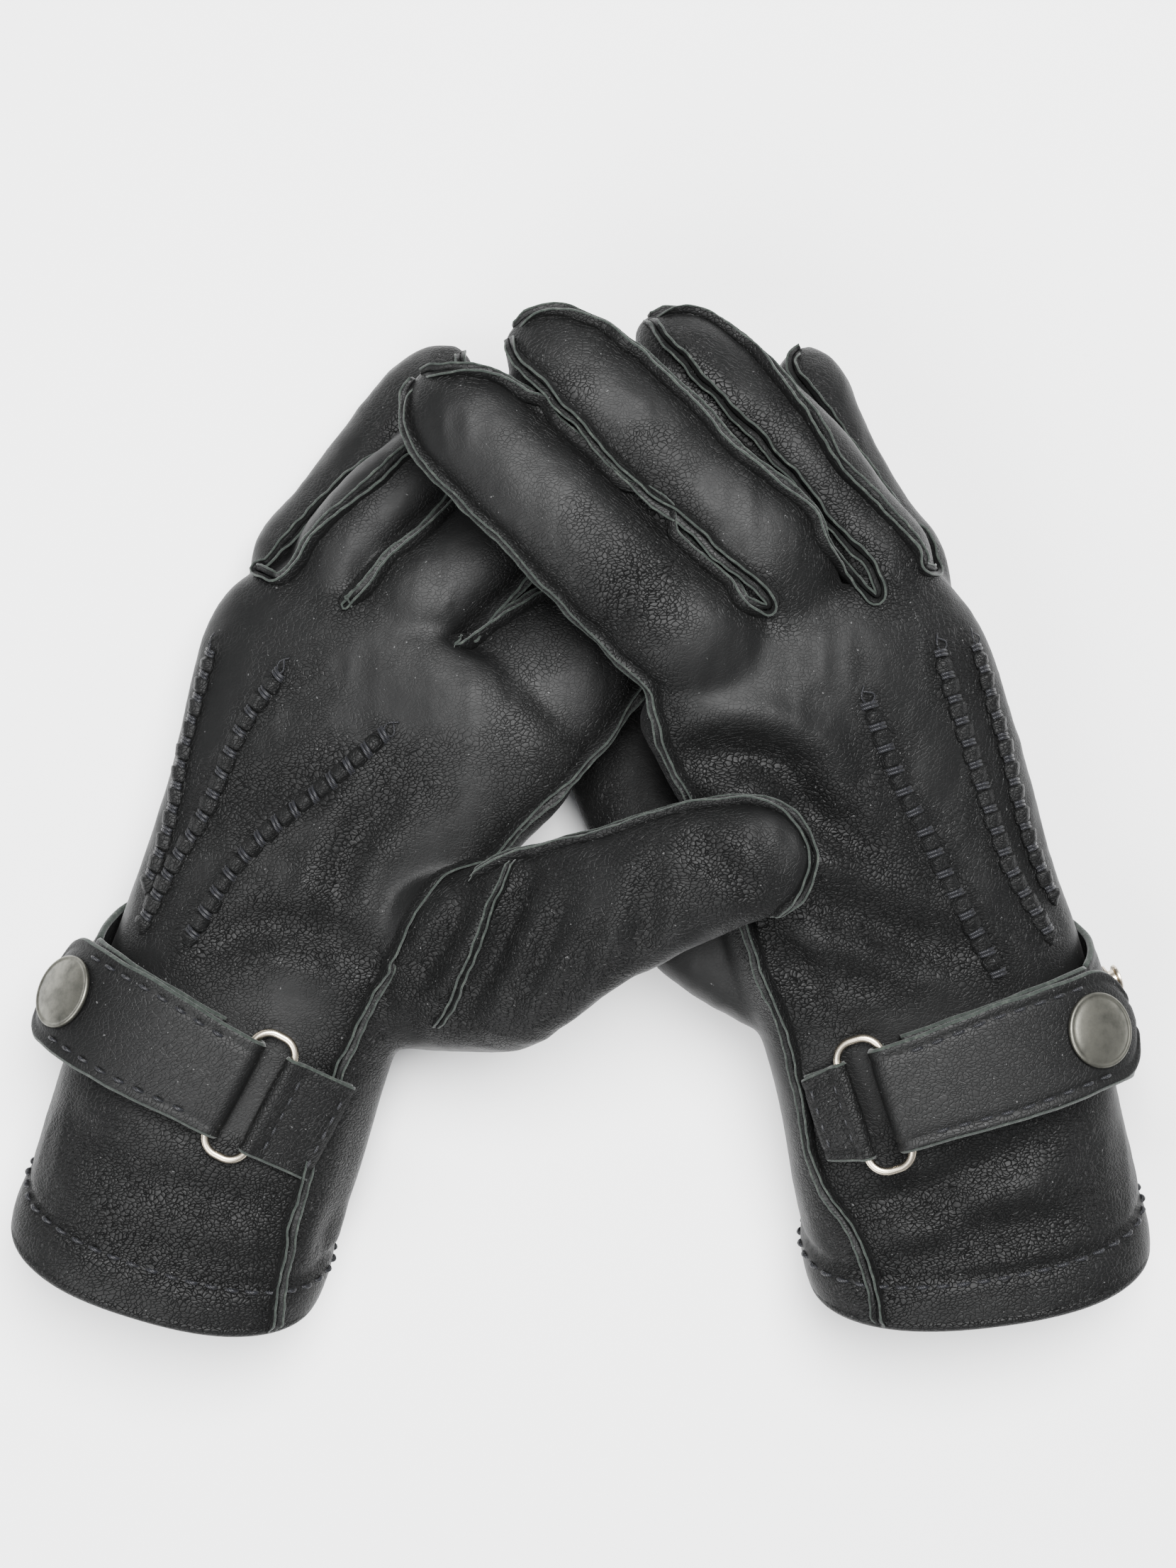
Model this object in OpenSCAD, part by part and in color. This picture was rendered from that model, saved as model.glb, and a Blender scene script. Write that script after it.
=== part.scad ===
// A pair of hand-sewn leather gloves with wrist straps, lying interlocked on a table.
// Every length is in millimetres. +Z is up from the table, the fingers point toward +Y,
// the left-hand glove lies on the -X side, and the origin is under the middle of the pair.

/* [Leather] */
// Thickness of the glove leather
leather_t = 1.2; // [0.8:0.1:1.4]
// Thickness of the knitted lining
lining_t = 1.1; // [0.8:0.1:1.4]
// Length of the folded hem inside the cuff
hem_l = 11; // [8:1:13]
// Height that the raw seam edges stand up
seam_h = 2.6; // [1.5:0.1:3]
// Width of the raw seam edges, two plies
seam_w = 2.2; // [1.6:0.1:2.6]

/* [Strap] */
// Width of the strap
strap_w = 28; // [24:1:30]
// Thickness of one strap layer
strap_t = 1.6; // [1.2:0.1:1.8]
// Diameter of the wire of the oval ring
wire_d = 1.8; // [1.6:0.1:2]
// Length of the oval ring, along the hand
ring_l = 30; // [29:1:33]
// Distance between the two bars of the ring
ring_w = 10; // [9.5:0.5:12]

/* [Snap] */
// Diameter of the snap cap
cap_d = 16.8; // [14:0.2:18]
// Thickness of the snap cap at its middle
cap_t = 2; // [1.6:0.1:2.4]
// Diameter of the stud head that the snap grips
stud_d = 4.4; // [4:0.1:4.6]
// Diameter of the spare stud's head
spare_d = 6.4; // [5.8:0.1:7]
// Height that the spare stud stands off the strap
spare_h = 3.2; // [2.6:0.1:3.6]

/* [Stitches] */
// Length of one stitch
stitch_l = 3; // [2.2:0.1:3.6]
// Thickness of the thread
thread_d = 0.7; // [0.5:0.1:0.9]
// Distance from one stitch to the next along the strap
strap_pitch = 5; // [4.5:0.5:6]
// Number of stitches around the hem
hem_stitches = 40; // [30:1:44]

/* [Hidden] */
// Gap kept between pieces that are sewn or lie together
skin = 0.1;
// Gap between the folded hem and the leather around it
hem_gap = 0.4;
// Gap between the lining and the leather around it
lining_gap = 0.25;
// Running clearance of the leather loops around the ring's bars
loop_clear = 0.6;
// Sides of the hand, finger and lining sections
hand_sides = 20;
finger_sides = 12;
// Squareness of the sections: 1 is an ellipse, smaller is boxier
squareness = 0.86;
// Half angle of the side strips between the fingers
strip_a = 33;
// Angle between a side strip's edge and the leather beside it
strip_gap = 1;
// How far the cut for the side strips reaches past the leather
strip_g = 1.9;
// Angle on a finger's section where the raw seams stand
seam_a = 40;
bar_r = wire_d / 2;
loop_in = bar_r + loop_clear;
loop_out = loop_in + strap_t;
// Height of the ring's bars above the wrist's leather
bar_g = loop_out + 0.4;
// Radius of the ring's corners, to the middle of the wire
ring_corner = 4.2;
bar_l = ring_l - 2 * ring_corner;
// Width of the leather that wraps each bar
loop_w = ring_l - 5;
// Radius of the flap's rounded end corners
flap_round = 9;
// Heights of the strap's layers above the wrist's leather: base and flap, at the ring and at the snap
base_g = [1.4, 3.5];
flap_g = [bar_g + loop_in + 0.05, 7.9];
// Height of a sewn-down end of the strap above the wrist's leather
sewn_g = 0.6;
// Angles on the wrist from a ring bar to the strap's lower layer, and from the snap to that layer's end
base_start = 7;
base_end = 13;
// Height of the raised tucks, and how far the feet of seams and tucks sink into the leather
tuck_h = 1.9;
seam_foot = -0.8;
// Angle on the thumb's section where its outer seam runs
thumb_seam_a = 165;
// First place and step along a finger of the strips between the fingers
strip_from = 2.8;
strip_step = 0.95;

// A station is [x, y, z, width, thickness, heading, roll, lean]: the section's centre, its size, the
// heading of the limb clockwise from +Y, how far the right side is rolled up, and how far the top
// leans back toward the cuff's mouth (0 when it is left out).
LEFT_HAND = [
    [-95.5, -98, 21.2, 73, 43, 16, 0, 13],
    [-90.5, -82, 21.5, 72, 42, 19, 0, 8],
    [-84, -63, 22, 72, 40, 23, 0, 4],
    [-77, -44, 23, 70, 37, 26, 2, 1],
    [-70, -25, 24, 70, 34, 27, 4],
    [-62, -6, 26, 74, 31, 27, 6],
    [-54, 10, 27.5, 83, 29, 26, 8],
    [-46, 24, 29, 92, 28, 25, 9],
    [-40, 36, 30, 89, 26, 25, 9],
    [-38, 45.4, 30, 67, 21, 27, 9],
];
LEFT_FINGERS = [
    [[-70, 38, 22, 12, 10, 28, 15], [-68, 58, 16, 20, 19.5, 33, 28],
     [-58.5, 72.5, 12.5, 19, 19, 36, 28],
     [-50, 84, 11, 19, 19, 37, 28], [-42.5, 94, 10.5, 19, 18, 38, 28],
     [-36, 101.5, 10.5, 18.5, 17, 40, 28],
     [-31, 107, 10, 14, 12, 42, 28], [-28, 110, 10, 5, 4, 42, 28]],
    [[-60, 38, 27, 14, 12, 28, 10], [-57, 57, 27, 21, 20.5, 40, 18], [-46, 71.5, 27, 20.5, 20, 45, 18],
     [-37, 79.5, 26.5, 20.5, 19.5, 46, 18], [-30.5, 85.5, 26, 20, 19, 46, 18],
     [-24.5, 91, 25, 19, 18, 46, 18],
     [-20, 95, 24.5, 14, 12, 46, 18], [-17, 98, 24, 5, 4, 46, 18]],
    [[-49, 33, 29, 16, 12, 30, 8], [-39.5, 47.5, 31, 26, 21, 42, 8], [-28.5, 57, 31, 25, 20.5, 48, 8],
     [-18, 66, 30, 25, 20, 49, 8], [-7.5, 75, 28.5, 24.5, 19.5, 49, 8],
     [2, 83.5, 26.5, 23, 18.5, 49, 8],
     [8, 88.5, 25, 17, 13, 49, 8], [11.5, 91.5, 24.5, 5, 4, 49, 8]],
    [[-34, 18, 31, 22, 12, 38, 6], [-14, 29, 31.5, 40, 20, 46, 6], [-1, 39.5, 30.5, 36, 20, 50, 4],
     [10, 49, 28.5, 30, 19.5, 51, 4], [19, 57, 25.5, 27, 19, 52, 4], [27, 64, 23, 25, 18, 52, 4],
     [32, 68.5, 21.5, 18, 13, 52, 4], [35, 71.5, 21, 5, 4, 52, 4]],
];
LEFT_THUMB = [
    [-54, -40, 25, 26, 16, 60, 4], [-34, -32, 32, 44, 28, 62, 2], [-20.5, -30.5, 40, 43, 26, 66, 0],
    [-7, -24, 49, 37.5, 22, 70, 0], [7, -17.5, 57, 31.5, 19, 70, 0], [22, -11.5, 62, 29, 17.5, 72, 0],
    [34, -8, 64, 26.5, 17, 78, 0], [42, -6.8, 64, 23, 15, 85, 0], [47, -6.6, 64.5, 15, 11, 90, 0],
    [50, -6.6, 64.5, 5, 4, 90, 0],
];
RIGHT_HAND = [
    [90.5, -99, 21.2, 79, 43, -7, 0, 13],
    [87, -80, 22.5, 78, 41, -11, -2, 8],
    [82, -58, 26, 76, 38, -16, -4, 4],
    [77, -39, 30, 76, 35, -18, -6, 1],
    [70.5, -22, 34, 77, 33, -18, -8],
    [65.5, -5, 38, 77, 31, -17, -9],
    [60, 12, 42, 78, 29, -18, -10],
    [53.5, 27, 46, 80, 28, -20, -11],
    [47.5, 37.5, 48, 78, 26, -22, -12],
    [45, 46, 49, 66, 21, -26, -12],
];
RIGHT_FINGERS = [
    [[38, 26, 54, 18, 12, -34, -8], [26, 38.5, 58, 28, 21, -42, -6], [15.5, 48, 59, 27, 20.5, -44, -4],
     [4.5, 58, 59.5, 27, 20, -45, 0], [-5.5, 68, 59, 26.5, 20, -45, 0],
     [-16, 78, 58, 26.5, 19.5, -43, 0],
     [-25.5, 88, 57, 25, 18.5, -40, 0], [-32, 94.5, 56, 18, 14, -40, 0],
     [-36, 98.5, 55.5, 5, 4, -40, 0]],
    [[50, 36, 50, 16, 12, -30, -12], [43, 56, 54, 26, 21, -40, -12],
     [32, 68.5, 56, 24.5, 20.5, -44, -10],
     [23.5, 76, 56.5, 24.5, 20, -46, -10], [15, 84, 56.5, 24.5, 20, -46, -10],
     [6, 92, 56, 24, 19.5, -48, -10],
     [-4, 100, 55.5, 23.5, 18.5, -54, -10], [-11.5, 105, 55, 17, 13, -60, -10],
     [-16.5, 107.5, 54.5, 5, 4, -62, -10]],
    [[68, 36, 45, 14, 12, -26, -16], [68, 55, 44, 22, 21, -36, -24],
     [58.5, 67.5, 45, 22, 20.5, -40, -26],
     [49.5, 79.5, 46, 22, 20, -41, -28], [40, 89, 46, 22, 20, -42, -28],
     [30.5, 96.5, 46, 21.5, 19.5, -43, -28],
     [22, 104, 46, 20, 18, -45, -28], [16.5, 108.5, 45.5, 14, 12, -48, -28],
     [12.5, 111.5, 45, 5, 4, -50, -28]],
    [[78, 36, 40, 12, 10, -26, -18], [72.5, 55, 31.5, 22, 20.5, -32, -26],
     [65, 68, 28.5, 21, 19.5, -33, -30],
     [58.5, 79.5, 27, 21, 19, -32, -30], [54, 90, 26.5, 20.5, 18.5, -28, -30],
     [51.5, 98, 26.5, 20, 17.5, -20, -30],
     [50, 105, 26.5, 14, 12, -14, -30], [49.5, 109, 26.5, 5, 4, -14, -30]],
];
RIGHT_THUMB = [
    [50, -40, 33, 24, 16, -42, 0], [33, -21, 27, 40, 27, -38, 0], [24, -8.5, 21.5, 36, 24, -34, 0],
    [16, 3.5, 16, 32, 21, -30, 0], [9.5, 15.5, 12, 28.5, 18, -28, 0], [4, 26.5, 9.5, 25, 16, -26, 0],
    [0.5, 34, 8.5, 22, 14, -24, 0], [-1.5, 38.5, 8, 16, 11, -22, 0], [-2.8, 42, 8, 5, 4, -22, 0],
];
// Where the strap crosses the wrist, as a station
LEFT_WRIST = [-82, -56, 22.3, 71.5, 39.2, 28, 1];
RIGHT_WRIST = [81.5, -56, 27.4, 76, 39.4, -18, -4];
// Angles on that section, from the thumb side over the back: middle of the ring, snap, end of the
// flap and sewn root, then how far the root reaches toward the fingers, and the angle of the keeper's end
LEFT_STRAP = [79, 148, 170, 214, 9, 43];
RIGHT_STRAP = [65, 131, 153, 200, 5, 38];
// The seam along the thumb side: its angle at each station, from the hem on
LEFT_SEAM = [35, 38, 40, 38, 36, 29, 23, 20];
RIGHT_SEAM = [51, 46, 31, 31, 34, 31, 26, 28];
// The three raised tucks on the back: [first station, angle, last station, angle]
TUCKS = [[6.8, 96, 3.15, 121], [7, 116, 3.3, 139], [6.9, 146, 3.8, 152]];

// A glove is [thumb side, hand, fingers, thumb, wrist, strap angles, seam angles]
LEFT = [1, LEFT_HAND, LEFT_FINGERS, LEFT_THUMB, LEFT_WRIST, LEFT_STRAP, LEFT_SEAM];
RIGHT = [-1, RIGHT_HAND, RIGHT_FINGERS, RIGHT_THUMB, RIGHT_WRIST, RIGHT_STRAP, RIGHT_SEAM];

LEATHER = [0.07, 0.075, 0.075];
LINING = [0.16, 0.16, 0.18];
THREAD = [0.03, 0.03, 0.03];
METAL = [0.62, 0.6, 0.55];

// ---- Geometry helpers ----

function unit(v) = v / norm(v);
function mix(a, b, f) = a * (1 - f) + b * f;
function side_angle(glove, a) = glove[0] > 0 ? a : 180 - a;
function fore(s) = [sin(s[5]), cos(s[5]), 0];
function right(s) = [cos(s[5]) * cos(s[6]), -sin(s[5]) * cos(s[6]), sin(s[6])];
function up(s) = cross(right(s), fore(s));
function centre(s) = [s[0], s[1], s[2]];
function lean(s) = len(s) > 7 ? s[7] : 0;
function boxy(v) = sign(v) * pow(abs(v), squareness);

// A point of a section at angle a from its right side, grown by g
function on_section(s, a, g) = centre(s) - fore(s) * lean(s) * boxy(sin(a))
    + right(s) * (s[3] / 2 + g) * boxy(cos(a)) + up(s) * (s[4] / 2 + g) * boxy(sin(a));

// The station at the fractional place u along a limb
function station(limb, u) = let(i = min(floor(u), len(limb) - 2), a = limb[i], b = limb[i + 1])
    [for (k = [0:7]) k < 7 ? mix(a[k], b[k], u - i) : mix(lean(a), lean(b), u - i)];
function on_limb(limb, u, a, g) = on_section(station(limb, u), a, g);

// A station moved by d along its heading
function moved(s, d) = [for (i = [0:len(s) - 1]) i < 3 ? s[i] + fore(s)[i] * d : s[i]];

// A closed solid through rings of points that turn anticlockwise seen from the first ring
module loft(rings) {
    n = len(rings[0]);
    last = len(rings) - 1;
    sides = [for (i = [0:last - 1]) for (k = [0:n - 1]) let(a = i * n + k, b = i * n + (k + 1) % n)
        each [[a, b, b + n], [a, b + n, a + n]]];
    first_cap = [for (k = [n - 1:-1:0]) k];
    last_cap = [for (k = [0:n - 1]) last * n + k];
    polyhedron([for (r = rings) each r], concat(sides, [first_cap, last_cap]), convexity = 6);
}

// A limb as a solid, grown by g, with its tip moved by g and its first section moved back by mouth
module limb(stations, g, sides, mouth = 0) {
    last = len(stations) - 1;
    loft([for (i = [0:last]) let(d = i == 0 ? -mouth : i >= last - 1 ? g : 0)
        [for (k = [0:sides - 1]) on_section(moved(stations[i], d), 360 * k / sides, g)]]);
}

// The part of a limb between two angles, from its middle line out to its surface grown by g
module limb_sector(stations, a0, a1, g) {
    steps = 3;
    loft([for (u = [strip_from:strip_step:len(stations) - 2.1]) concat([centre(station(stations, u))],
        [for (k = [0:steps]) on_limb(stations, u, mix(a0, a1, k / steps), g)])]);
}

// A raised strip along a path of [place, angle] pairs on a limb
module ridge(stations, path, width, low, high) {
    last = len(path) - 1;
    feet = [for (p = path) on_limb(stations, p[0], p[1], 0)];
    ups = [for (p = path) unit(on_limb(stations, p[0], p[1], 2) - on_limb(stations, p[0], p[1], 0))];
    loft([for (i = [0:last])
        let(t = unit(feet[min(i + 1, last)] - feet[max(i - 1, 0)]), r = unit(cross(t, ups[i])) * width / 2)
        [feet[i] + r + ups[i] * low, feet[i] + r + ups[i] * high,
         feet[i] - r + ups[i] * high, feet[i] - r + ups[i] * low]]);
}

// Keeps a soft shape as one mesh
module soft_mesh() resize([0, 0, 0]) union() children();

// A frame on the wrist at angle a and height g, on a layer that rises by slope for each degree:
// X toward the thumb side, Z out of the leather
module on_wrist(glove, a, g, slope = 0) {
    s = glove[4];
    p = on_section(s, side_angle(glove, a), g);
    before = on_section(s, side_angle(glove, a - 1), g - slope);
    x = unit(before - on_section(s, side_angle(glove, a + 1), g + slope));
    y = fore(s) * glove[0];
    z = cross(x, y);
    multmatrix([[x[0], y[0], z[0], p[0]], [x[1], y[1], z[1], p[1]], [x[2], y[2], z[2], p[2]], [0, 0, 0, 1]])
        children();
}

// ---- The leather shell ----

module hand_solid(glove, g, sides = hand_sides, mouth = 0) limb(glove[1], g, sides, mouth);

module fingers_solid(glove, g, sides = finger_sides) for (f = glove[2]) limb(f, g, sides);

module strips(glove, half_angle, g) {
    for (i = [0:2]) {
        limb_sector(glove[2][i], -half_angle, half_angle, g);
        limb_sector(glove[2][i + 1], 180 - half_angle, 180 + half_angle, g);
    }
}

module glove_solid(glove, g, mouth = 0) {
    hand_solid(glove, g, mouth = mouth);
    fingers_solid(glove, g);
}

module trank(glove) color(LEATHER) soft_mesh() difference() {
    glove_solid(glove, 0);
    glove_solid(glove, -leather_t, 2);
    limb(glove[3], -leather_t, finger_sides);
    strips(glove, strip_a, strip_g);
    translate([-200, -200, -10]) cube([400, 400, 10]);
}

module fourchettes(glove) color(LEATHER) soft_mesh() difference() {
    intersection() {
        fingers_solid(glove, 0);
        strips(glove, strip_a - strip_gap, strip_g - 0.4);
    }
    fingers_solid(glove, -leather_t);
}

module thumb(glove) color(LEATHER) soft_mesh() difference() {
    limb(glove[3], 0, finger_sides);
    limb(glove[3], -leather_t, finger_sides, 2);
    hand_solid(glove, skin);
}

module lining(glove) color(LINING) soft_mesh() difference() {
    union() {
        limb(cut_hem(glove), -leather_t - lining_gap, hand_sides);
        fingers_solid(glove, -leather_t - lining_gap);
        limb(glove[3], -leather_t - lining_gap, finger_sides);
    }
    limb(cut_hem(glove), -leather_t - lining_gap - lining_t, hand_sides, 5);
    fingers_solid(glove, -leather_t - lining_gap - lining_t);
    limb(glove[3], -leather_t - lining_gap - lining_t, finger_sides);
}

// How far along the hand's first stretch the folded hem ends
function hem_at(glove) = hem_l / norm(centre(glove[1][1]) - centre(glove[1][0]));

// The hand's stations from just past the folded hem on
function cut_hem(glove) = [for (i = [0:len(glove[1]) - 1])
    i == 0 ? moved(station(glove[1], hem_at(glove)), skin) : glove[1][i]];

module hem_fold(glove) color(LEATHER) soft_mesh() difference() {
    outer = -leather_t - hem_gap;
    inner = outer - leather_t;
    s = glove[1][0];
    end = station(glove[1], hem_at(glove));
    limb([s, moved(end, -outer - 1), moved(end, -outer)], outer, hand_sides);
    limb([s, moved(end, 1 - inner), moved(end, 3 - inner)], inner, hand_sides, 2);
}

// ---- Raised seams ----

module finger_seams(glove) color(LEATHER) soft_mesh() difference() {
    for (i = [0:3]) {
        f = glove[2][i];
        tip = len(f) - 1.2;
        steps = 7;
        ulnar = i == (glove[0] > 0 ? 0 : 3);
        for (a = [seam_a, 180 - seam_a]) {
            outer_side = ulnar && a == (glove[0] > 0 ? 180 - seam_a : seam_a);
            if (!outer_side)
                ridge(f, [for (k = [0:steps]) [mix(1.15, tip, k / steps), a]], seam_w, seam_foot, seam_h);
        }
    }
    glove_solid(glove, skin);
}

module side_seam(glove) color(LEATHER) soft_mesh() difference() {
    angles = glove[6];
    path = [for (i = [0:len(angles) - 1]) [i, side_angle(glove, angles[i])]];
    ridge(glove[1], path, seam_w, seam_foot, seam_h);
    glove_solid(glove, skin, 2);
    limb(glove[3], skin, finger_sides);
    limb(LEFT_THUMB, skin * 3, finger_sides);
    keeper_space(glove);
}

module thumb_seam(glove) color(LEATHER) soft_mesh() difference() {
    t = glove[3];
    a = side_angle(glove, thumb_seam_a);
    ridge(t, [for (k = [3:len(t) - 2]) [k, a]], seam_w, seam_foot, seam_h);
    limb(t, skin, finger_sides);
    glove_solid(glove, skin);
}

module tuck(glove, i) color(LEATHER) soft_mesh() difference() {
    t = TUCKS[i];
    steps = 7;
    path = [for (k = [0:steps])
        [mix(t[0], t[2], k / steps), side_angle(glove, mix(t[1], t[3], k / steps))]];
    ridge(glove[1], path, seam_w, seam_foot, tuck_h);
    glove_solid(glove, skin);
}

// ---- Strap, ring and keeper ----

// A leather strip across the wrist between two angles, with its widths and heights at both ends
module strip(glove, a0, a1, widths, heights, thick, shift = 0) {
    s = glove[4];
    steps = 12;
    loft([for (k = [0:steps])
        let(f = k / steps, a = side_angle(glove, mix(a0, a1, f)), g = mix(heights[0], heights[1], f),
            w = fore(s) * mix(widths[0], widths[1], f) / 2 * glove[0] * sign(a1 - a0),
            p = fore(s) * shift * f)
        [on_section(s, a, g) + p + w, on_section(s, a, g + thick) + p + w,
         on_section(s, a, g + thick) + p - w, on_section(s, a, g) + p - w]]);
}

// Degrees on the wrist's section that a ring bar lies from the ring's middle
function bar_a(glove) = 0.5 * ring_w / (glove[4][3] / 2 + bar_g) * 180 / PI;

// Where the flap and the strap's lower layer start on the wrist, and their heights at an angle
function flap_from(glove) = glove[5][0] + bar_a(glove) + 1;
function flap_at(glove, a) =
    mix(flap_g[0], flap_g[1], (a - flap_from(glove)) / (glove[5][2] - flap_from(glove)));
function base_from(glove) = glove[5][0] + bar_a(glove) + base_start;
function base_at(glove, a) =
    mix(base_g[0], base_g[1], (a - base_from(glove)) / (glove[5][1] + base_end - base_from(glove)));

module strap_base(glove) color(LEATHER) soft_mesh() difference() {
    strip(glove, base_from(glove), glove[5][1] + base_end, [strap_w - 2, strap_w], base_g, strap_t);
    hand_solid(glove, skin);
}

root_flare = 14;
root_gap = 0.3;
module strap_root(glove) color(LEATHER) soft_mesh() {
    a = glove[5];
    widths = [strap_w, strap_w + root_flare];
    strip(glove, a[1] + base_end + root_gap, a[3], widths, [base_g[1], sewn_g], strap_t, shift = a[4]);
}

// A point of the wrist's section, drawn flat
function wrist_point(glove, a, g) = let(s = glove[4], b = side_angle(glove, a))
    [(s[3] / 2 + g) * boxy(cos(b)), (s[4] / 2 + g) * boxy(sin(b))];

// The centre of a ring bar on that flat section: 1 is the keeper's bar, -1 the flap's
function bar_centre(glove, bar) = let(a = glove[5][0]) wrist_point(glove, a, bar_g)
    + bar * ring_w / 2 * unit(wrist_point(glove, a - 1, bar_g) - wrist_point(glove, a + 1, bar_g));

// Carries a shape drawn on the flat section into place, width long along the hand
module across_wrist(glove, width) {
    s = glove[4];
    x = right(s);
    y = up(s);
    z = -fore(s);
    multmatrix([[x[0], y[0], z[0], s[0]], [x[1], y[1], z[1], s[1]], [x[2], y[2], z[2], s[2]], [0, 0, 0, 1]])
        linear_extrude(width, center = true) children();
}

// A leather layer folded around a bar of the ring, drawn on the flat section
module folded_layer(glove, bar, a0, a1, heights, thick) {
    steps = 12;
    function at(k, lift) =
        wrist_point(glove, mix(a0, a1, k / steps), mix(heights[0], heights[1], k / steps) + lift);
    low = [for (k = [0:steps]) at(k, 0)];
    high = [for (k = [steps:-1:0]) at(k, thick)];
    difference() {
        union() {
            polygon(concat(low, high));
            translate(bar_centre(glove, bar)) circle(r = loop_out, $fn = 24);
        }
        translate(bar_centre(glove, bar)) circle(r = loop_in, $fn = 24);
    }
}

// Tall enough for the flap's outline to cut right through its curve
cookie_h = 80;

module strap_flap(glove) color(LEATHER) soft_mesh() intersection() {
    a = glove[5];
    snap = wrist_point(glove, a[1], flap_g[1]);
    end_x = norm(wrist_point(glove, a[2], flap_g[1]) - snap);
    ring_x = norm(wrist_point(glove, a[0], flap_g[1]) - snap) + ring_w;
    across_wrist(glove, strap_w + 2) folded_layer(glove, -1, flap_from(glove), a[2], flap_g, strap_t);
    corner_y = strap_w / 2 - 1 - flap_round;
    on_wrist(glove, a[1], 0) translate([0, 0, -cookie_h / 2]) linear_extrude(cookie_h) hull() {
        for (y = [-1, 1])
            translate([flap_round - end_x, y * corner_y]) circle(r = flap_round, $fn = 32);
        translate([ring_x, 0]) square([1, loop_w], center = true);
    }
}

module keeper(glove) color(LEATHER) soft_mesh() difference() {
    a = glove[5];
    heights = [bar_g + loop_in - 2 * strap_t, sewn_g];
    across_wrist(glove, loop_w)
        folded_layer(glove, 1, a[0] - bar_a(glove) - 1, a[5], heights, 2 * strap_t);
    hand_solid(glove, skin);
}

// The room that the keeper and the ring take from the side seam
module keeper_space(glove) {
    a = glove[5];
    room = ring_l + 4;
    strip(glove, a[0] + 2 * bar_a(glove), a[5] - 1, [room, room], [-3, -3], 12);
}

module ring(glove) color(METAL) on_wrist(glove, glove[5][0], bar_g) {
    for (x = [-1, 1]) {
        translate([x * ring_w / 2, 0, 0]) rotate([90, 0, 0])
            cylinder(d = wire_d, h = bar_l, center = true, $fn = 32);
        translate([0, x * ring_l / 2, 0]) rotate([0, 90, 0])
            cylinder(d = wire_d, h = ring_w - 2 * ring_corner, center = true, $fn = 32);
    }
    for (turn = [0:3]) {
        x = turn == 0 || turn == 3 ? 1 : -1;
        y = turn < 2 ? 1 : -1;
        translate([x * (ring_w / 2 - ring_corner), y * bar_l / 2, 0]) rotate([0, 0, 90 * turn])
            rotate_extrude(angle = 90, $fn = 40) translate([ring_corner, 0]) circle(d = wire_d, $fn = 24);
    }
}

// ---- Snap fasteners ----

// A frame at the snap, h above the flap's underside or the strap's lower layer
module on_flap(glove, h) {
    a = glove[5][1];
    on_wrist(glove, a, flap_at(glove, a) + h, flap_at(glove, a + 1) - flap_at(glove, a)) children();
}

module on_base(glove, h) {
    a = glove[5][1];
    on_wrist(glove, a, base_at(glove, a) + h, base_at(glove, a + 1) - base_at(glove, a)) children();
}

module snap_cap(glove) color(METAL) on_flap(glove, strap_t + skin) rotate_extrude($fn = 64)
    polygon([[0, 0], [cap_d / 2 - 0.4, 0], [cap_d / 2, 0.4], [cap_d / 2, 0.9], [cap_d / 2 - 1, cap_t - 0.5],
             [cap_d / 2 - 1.6, cap_t - 0.6], [0, cap_t]]);

// The socket hangs this far under the flap, which curves away from it
socket_drop = 0.6;
socket_h = 0.9;
module snap_socket(glove) color(METAL) on_flap(glove, -socket_drop - socket_h) difference() {
    cylinder(d = cap_d * 0.6, h = socket_h, $fn = 48);
    translate([0, 0, -1]) cylinder(d = stud_d + 3, h = socket_h + 2, $fn = 48);
}

stud_flange = 0.3;
stud_h = 1.4;
module snap_stud(glove) color(METAL) on_base(glove, strap_t + skin) {
    cylinder(d = cap_d * 0.5, h = stud_flange, $fn = 48);
    cylinder(d = stud_d, h = stud_h, $fn = 48);
}

// The spare stud stands on the strap's root, this far round from its end and along the hand
spare_back = 20;
spare_side = 7;
spare_g = 4.4;
spare_head = 1;
module spare_stud(glove) color(METAL)
    on_wrist(glove, glove[5][3] - spare_back, spare_g) translate([0, spare_side * glove[0], 0]) {
        cylinder(d = spare_d + 1, h = 0.5, $fn = 48);
        cylinder(d = spare_d - 1.6, h = spare_h, $fn = 48);
        translate([0, 0, spare_h - spare_head]) cylinder(d = spare_d, h = spare_head, $fn = 48);
    }

// ---- Stitches ----

module stitch() translate([0, 0, thread_d / 2 + 0.05]) cube([stitch_l, thread_d, thread_d], center = true);

module hem_stitching(glove) color(THREAD) {
    s = station(glove[1], hem_at(glove) - 0.06);
    seam = side_angle(glove, glove[6][0]);
    angles = [for (k = [0:hem_stitches - 1]) 360 * (k + 0.5) / hem_stitches];
    for (a = angles) if (sin(a) > -0.8 && abs(a - seam) > 6) {
        p = on_section(s, a, 0.2);
        z = unit(on_section(s, a, 3) - p);
        x = unit(on_section(s, a + 1, 0.2) - p);
        y = cross(z, x);
        multmatrix([[x[0], y[0], z[0], p[0]], [x[1], y[1], z[1], p[1]], [x[2], y[2], z[2], p[2]], [0, 0, 0, 1]])
            stitch();
    }
}

module strap_stitching(glove) color(THREAD) {
    a = glove[5];
    first = a[0] + bar_a(glove) + 9;
    last = a[1] - 13;
    count = floor((last - first) / (strap_pitch / (glove[4][3] / 2) * 180 / PI));
    rise = (flap_g[1] - flap_g[0]) / (a[2] - flap_from(glove));
    for (k = [0:count])
        for (y = [-1, 1])
            let(b = mix(first, last, k / count))
                on_wrist(glove, b, flap_at(glove, b) + strap_t + 0.2, rise)
                    translate([0, y * (loop_w / 2 - 2), 0]) stitch();
}

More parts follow.
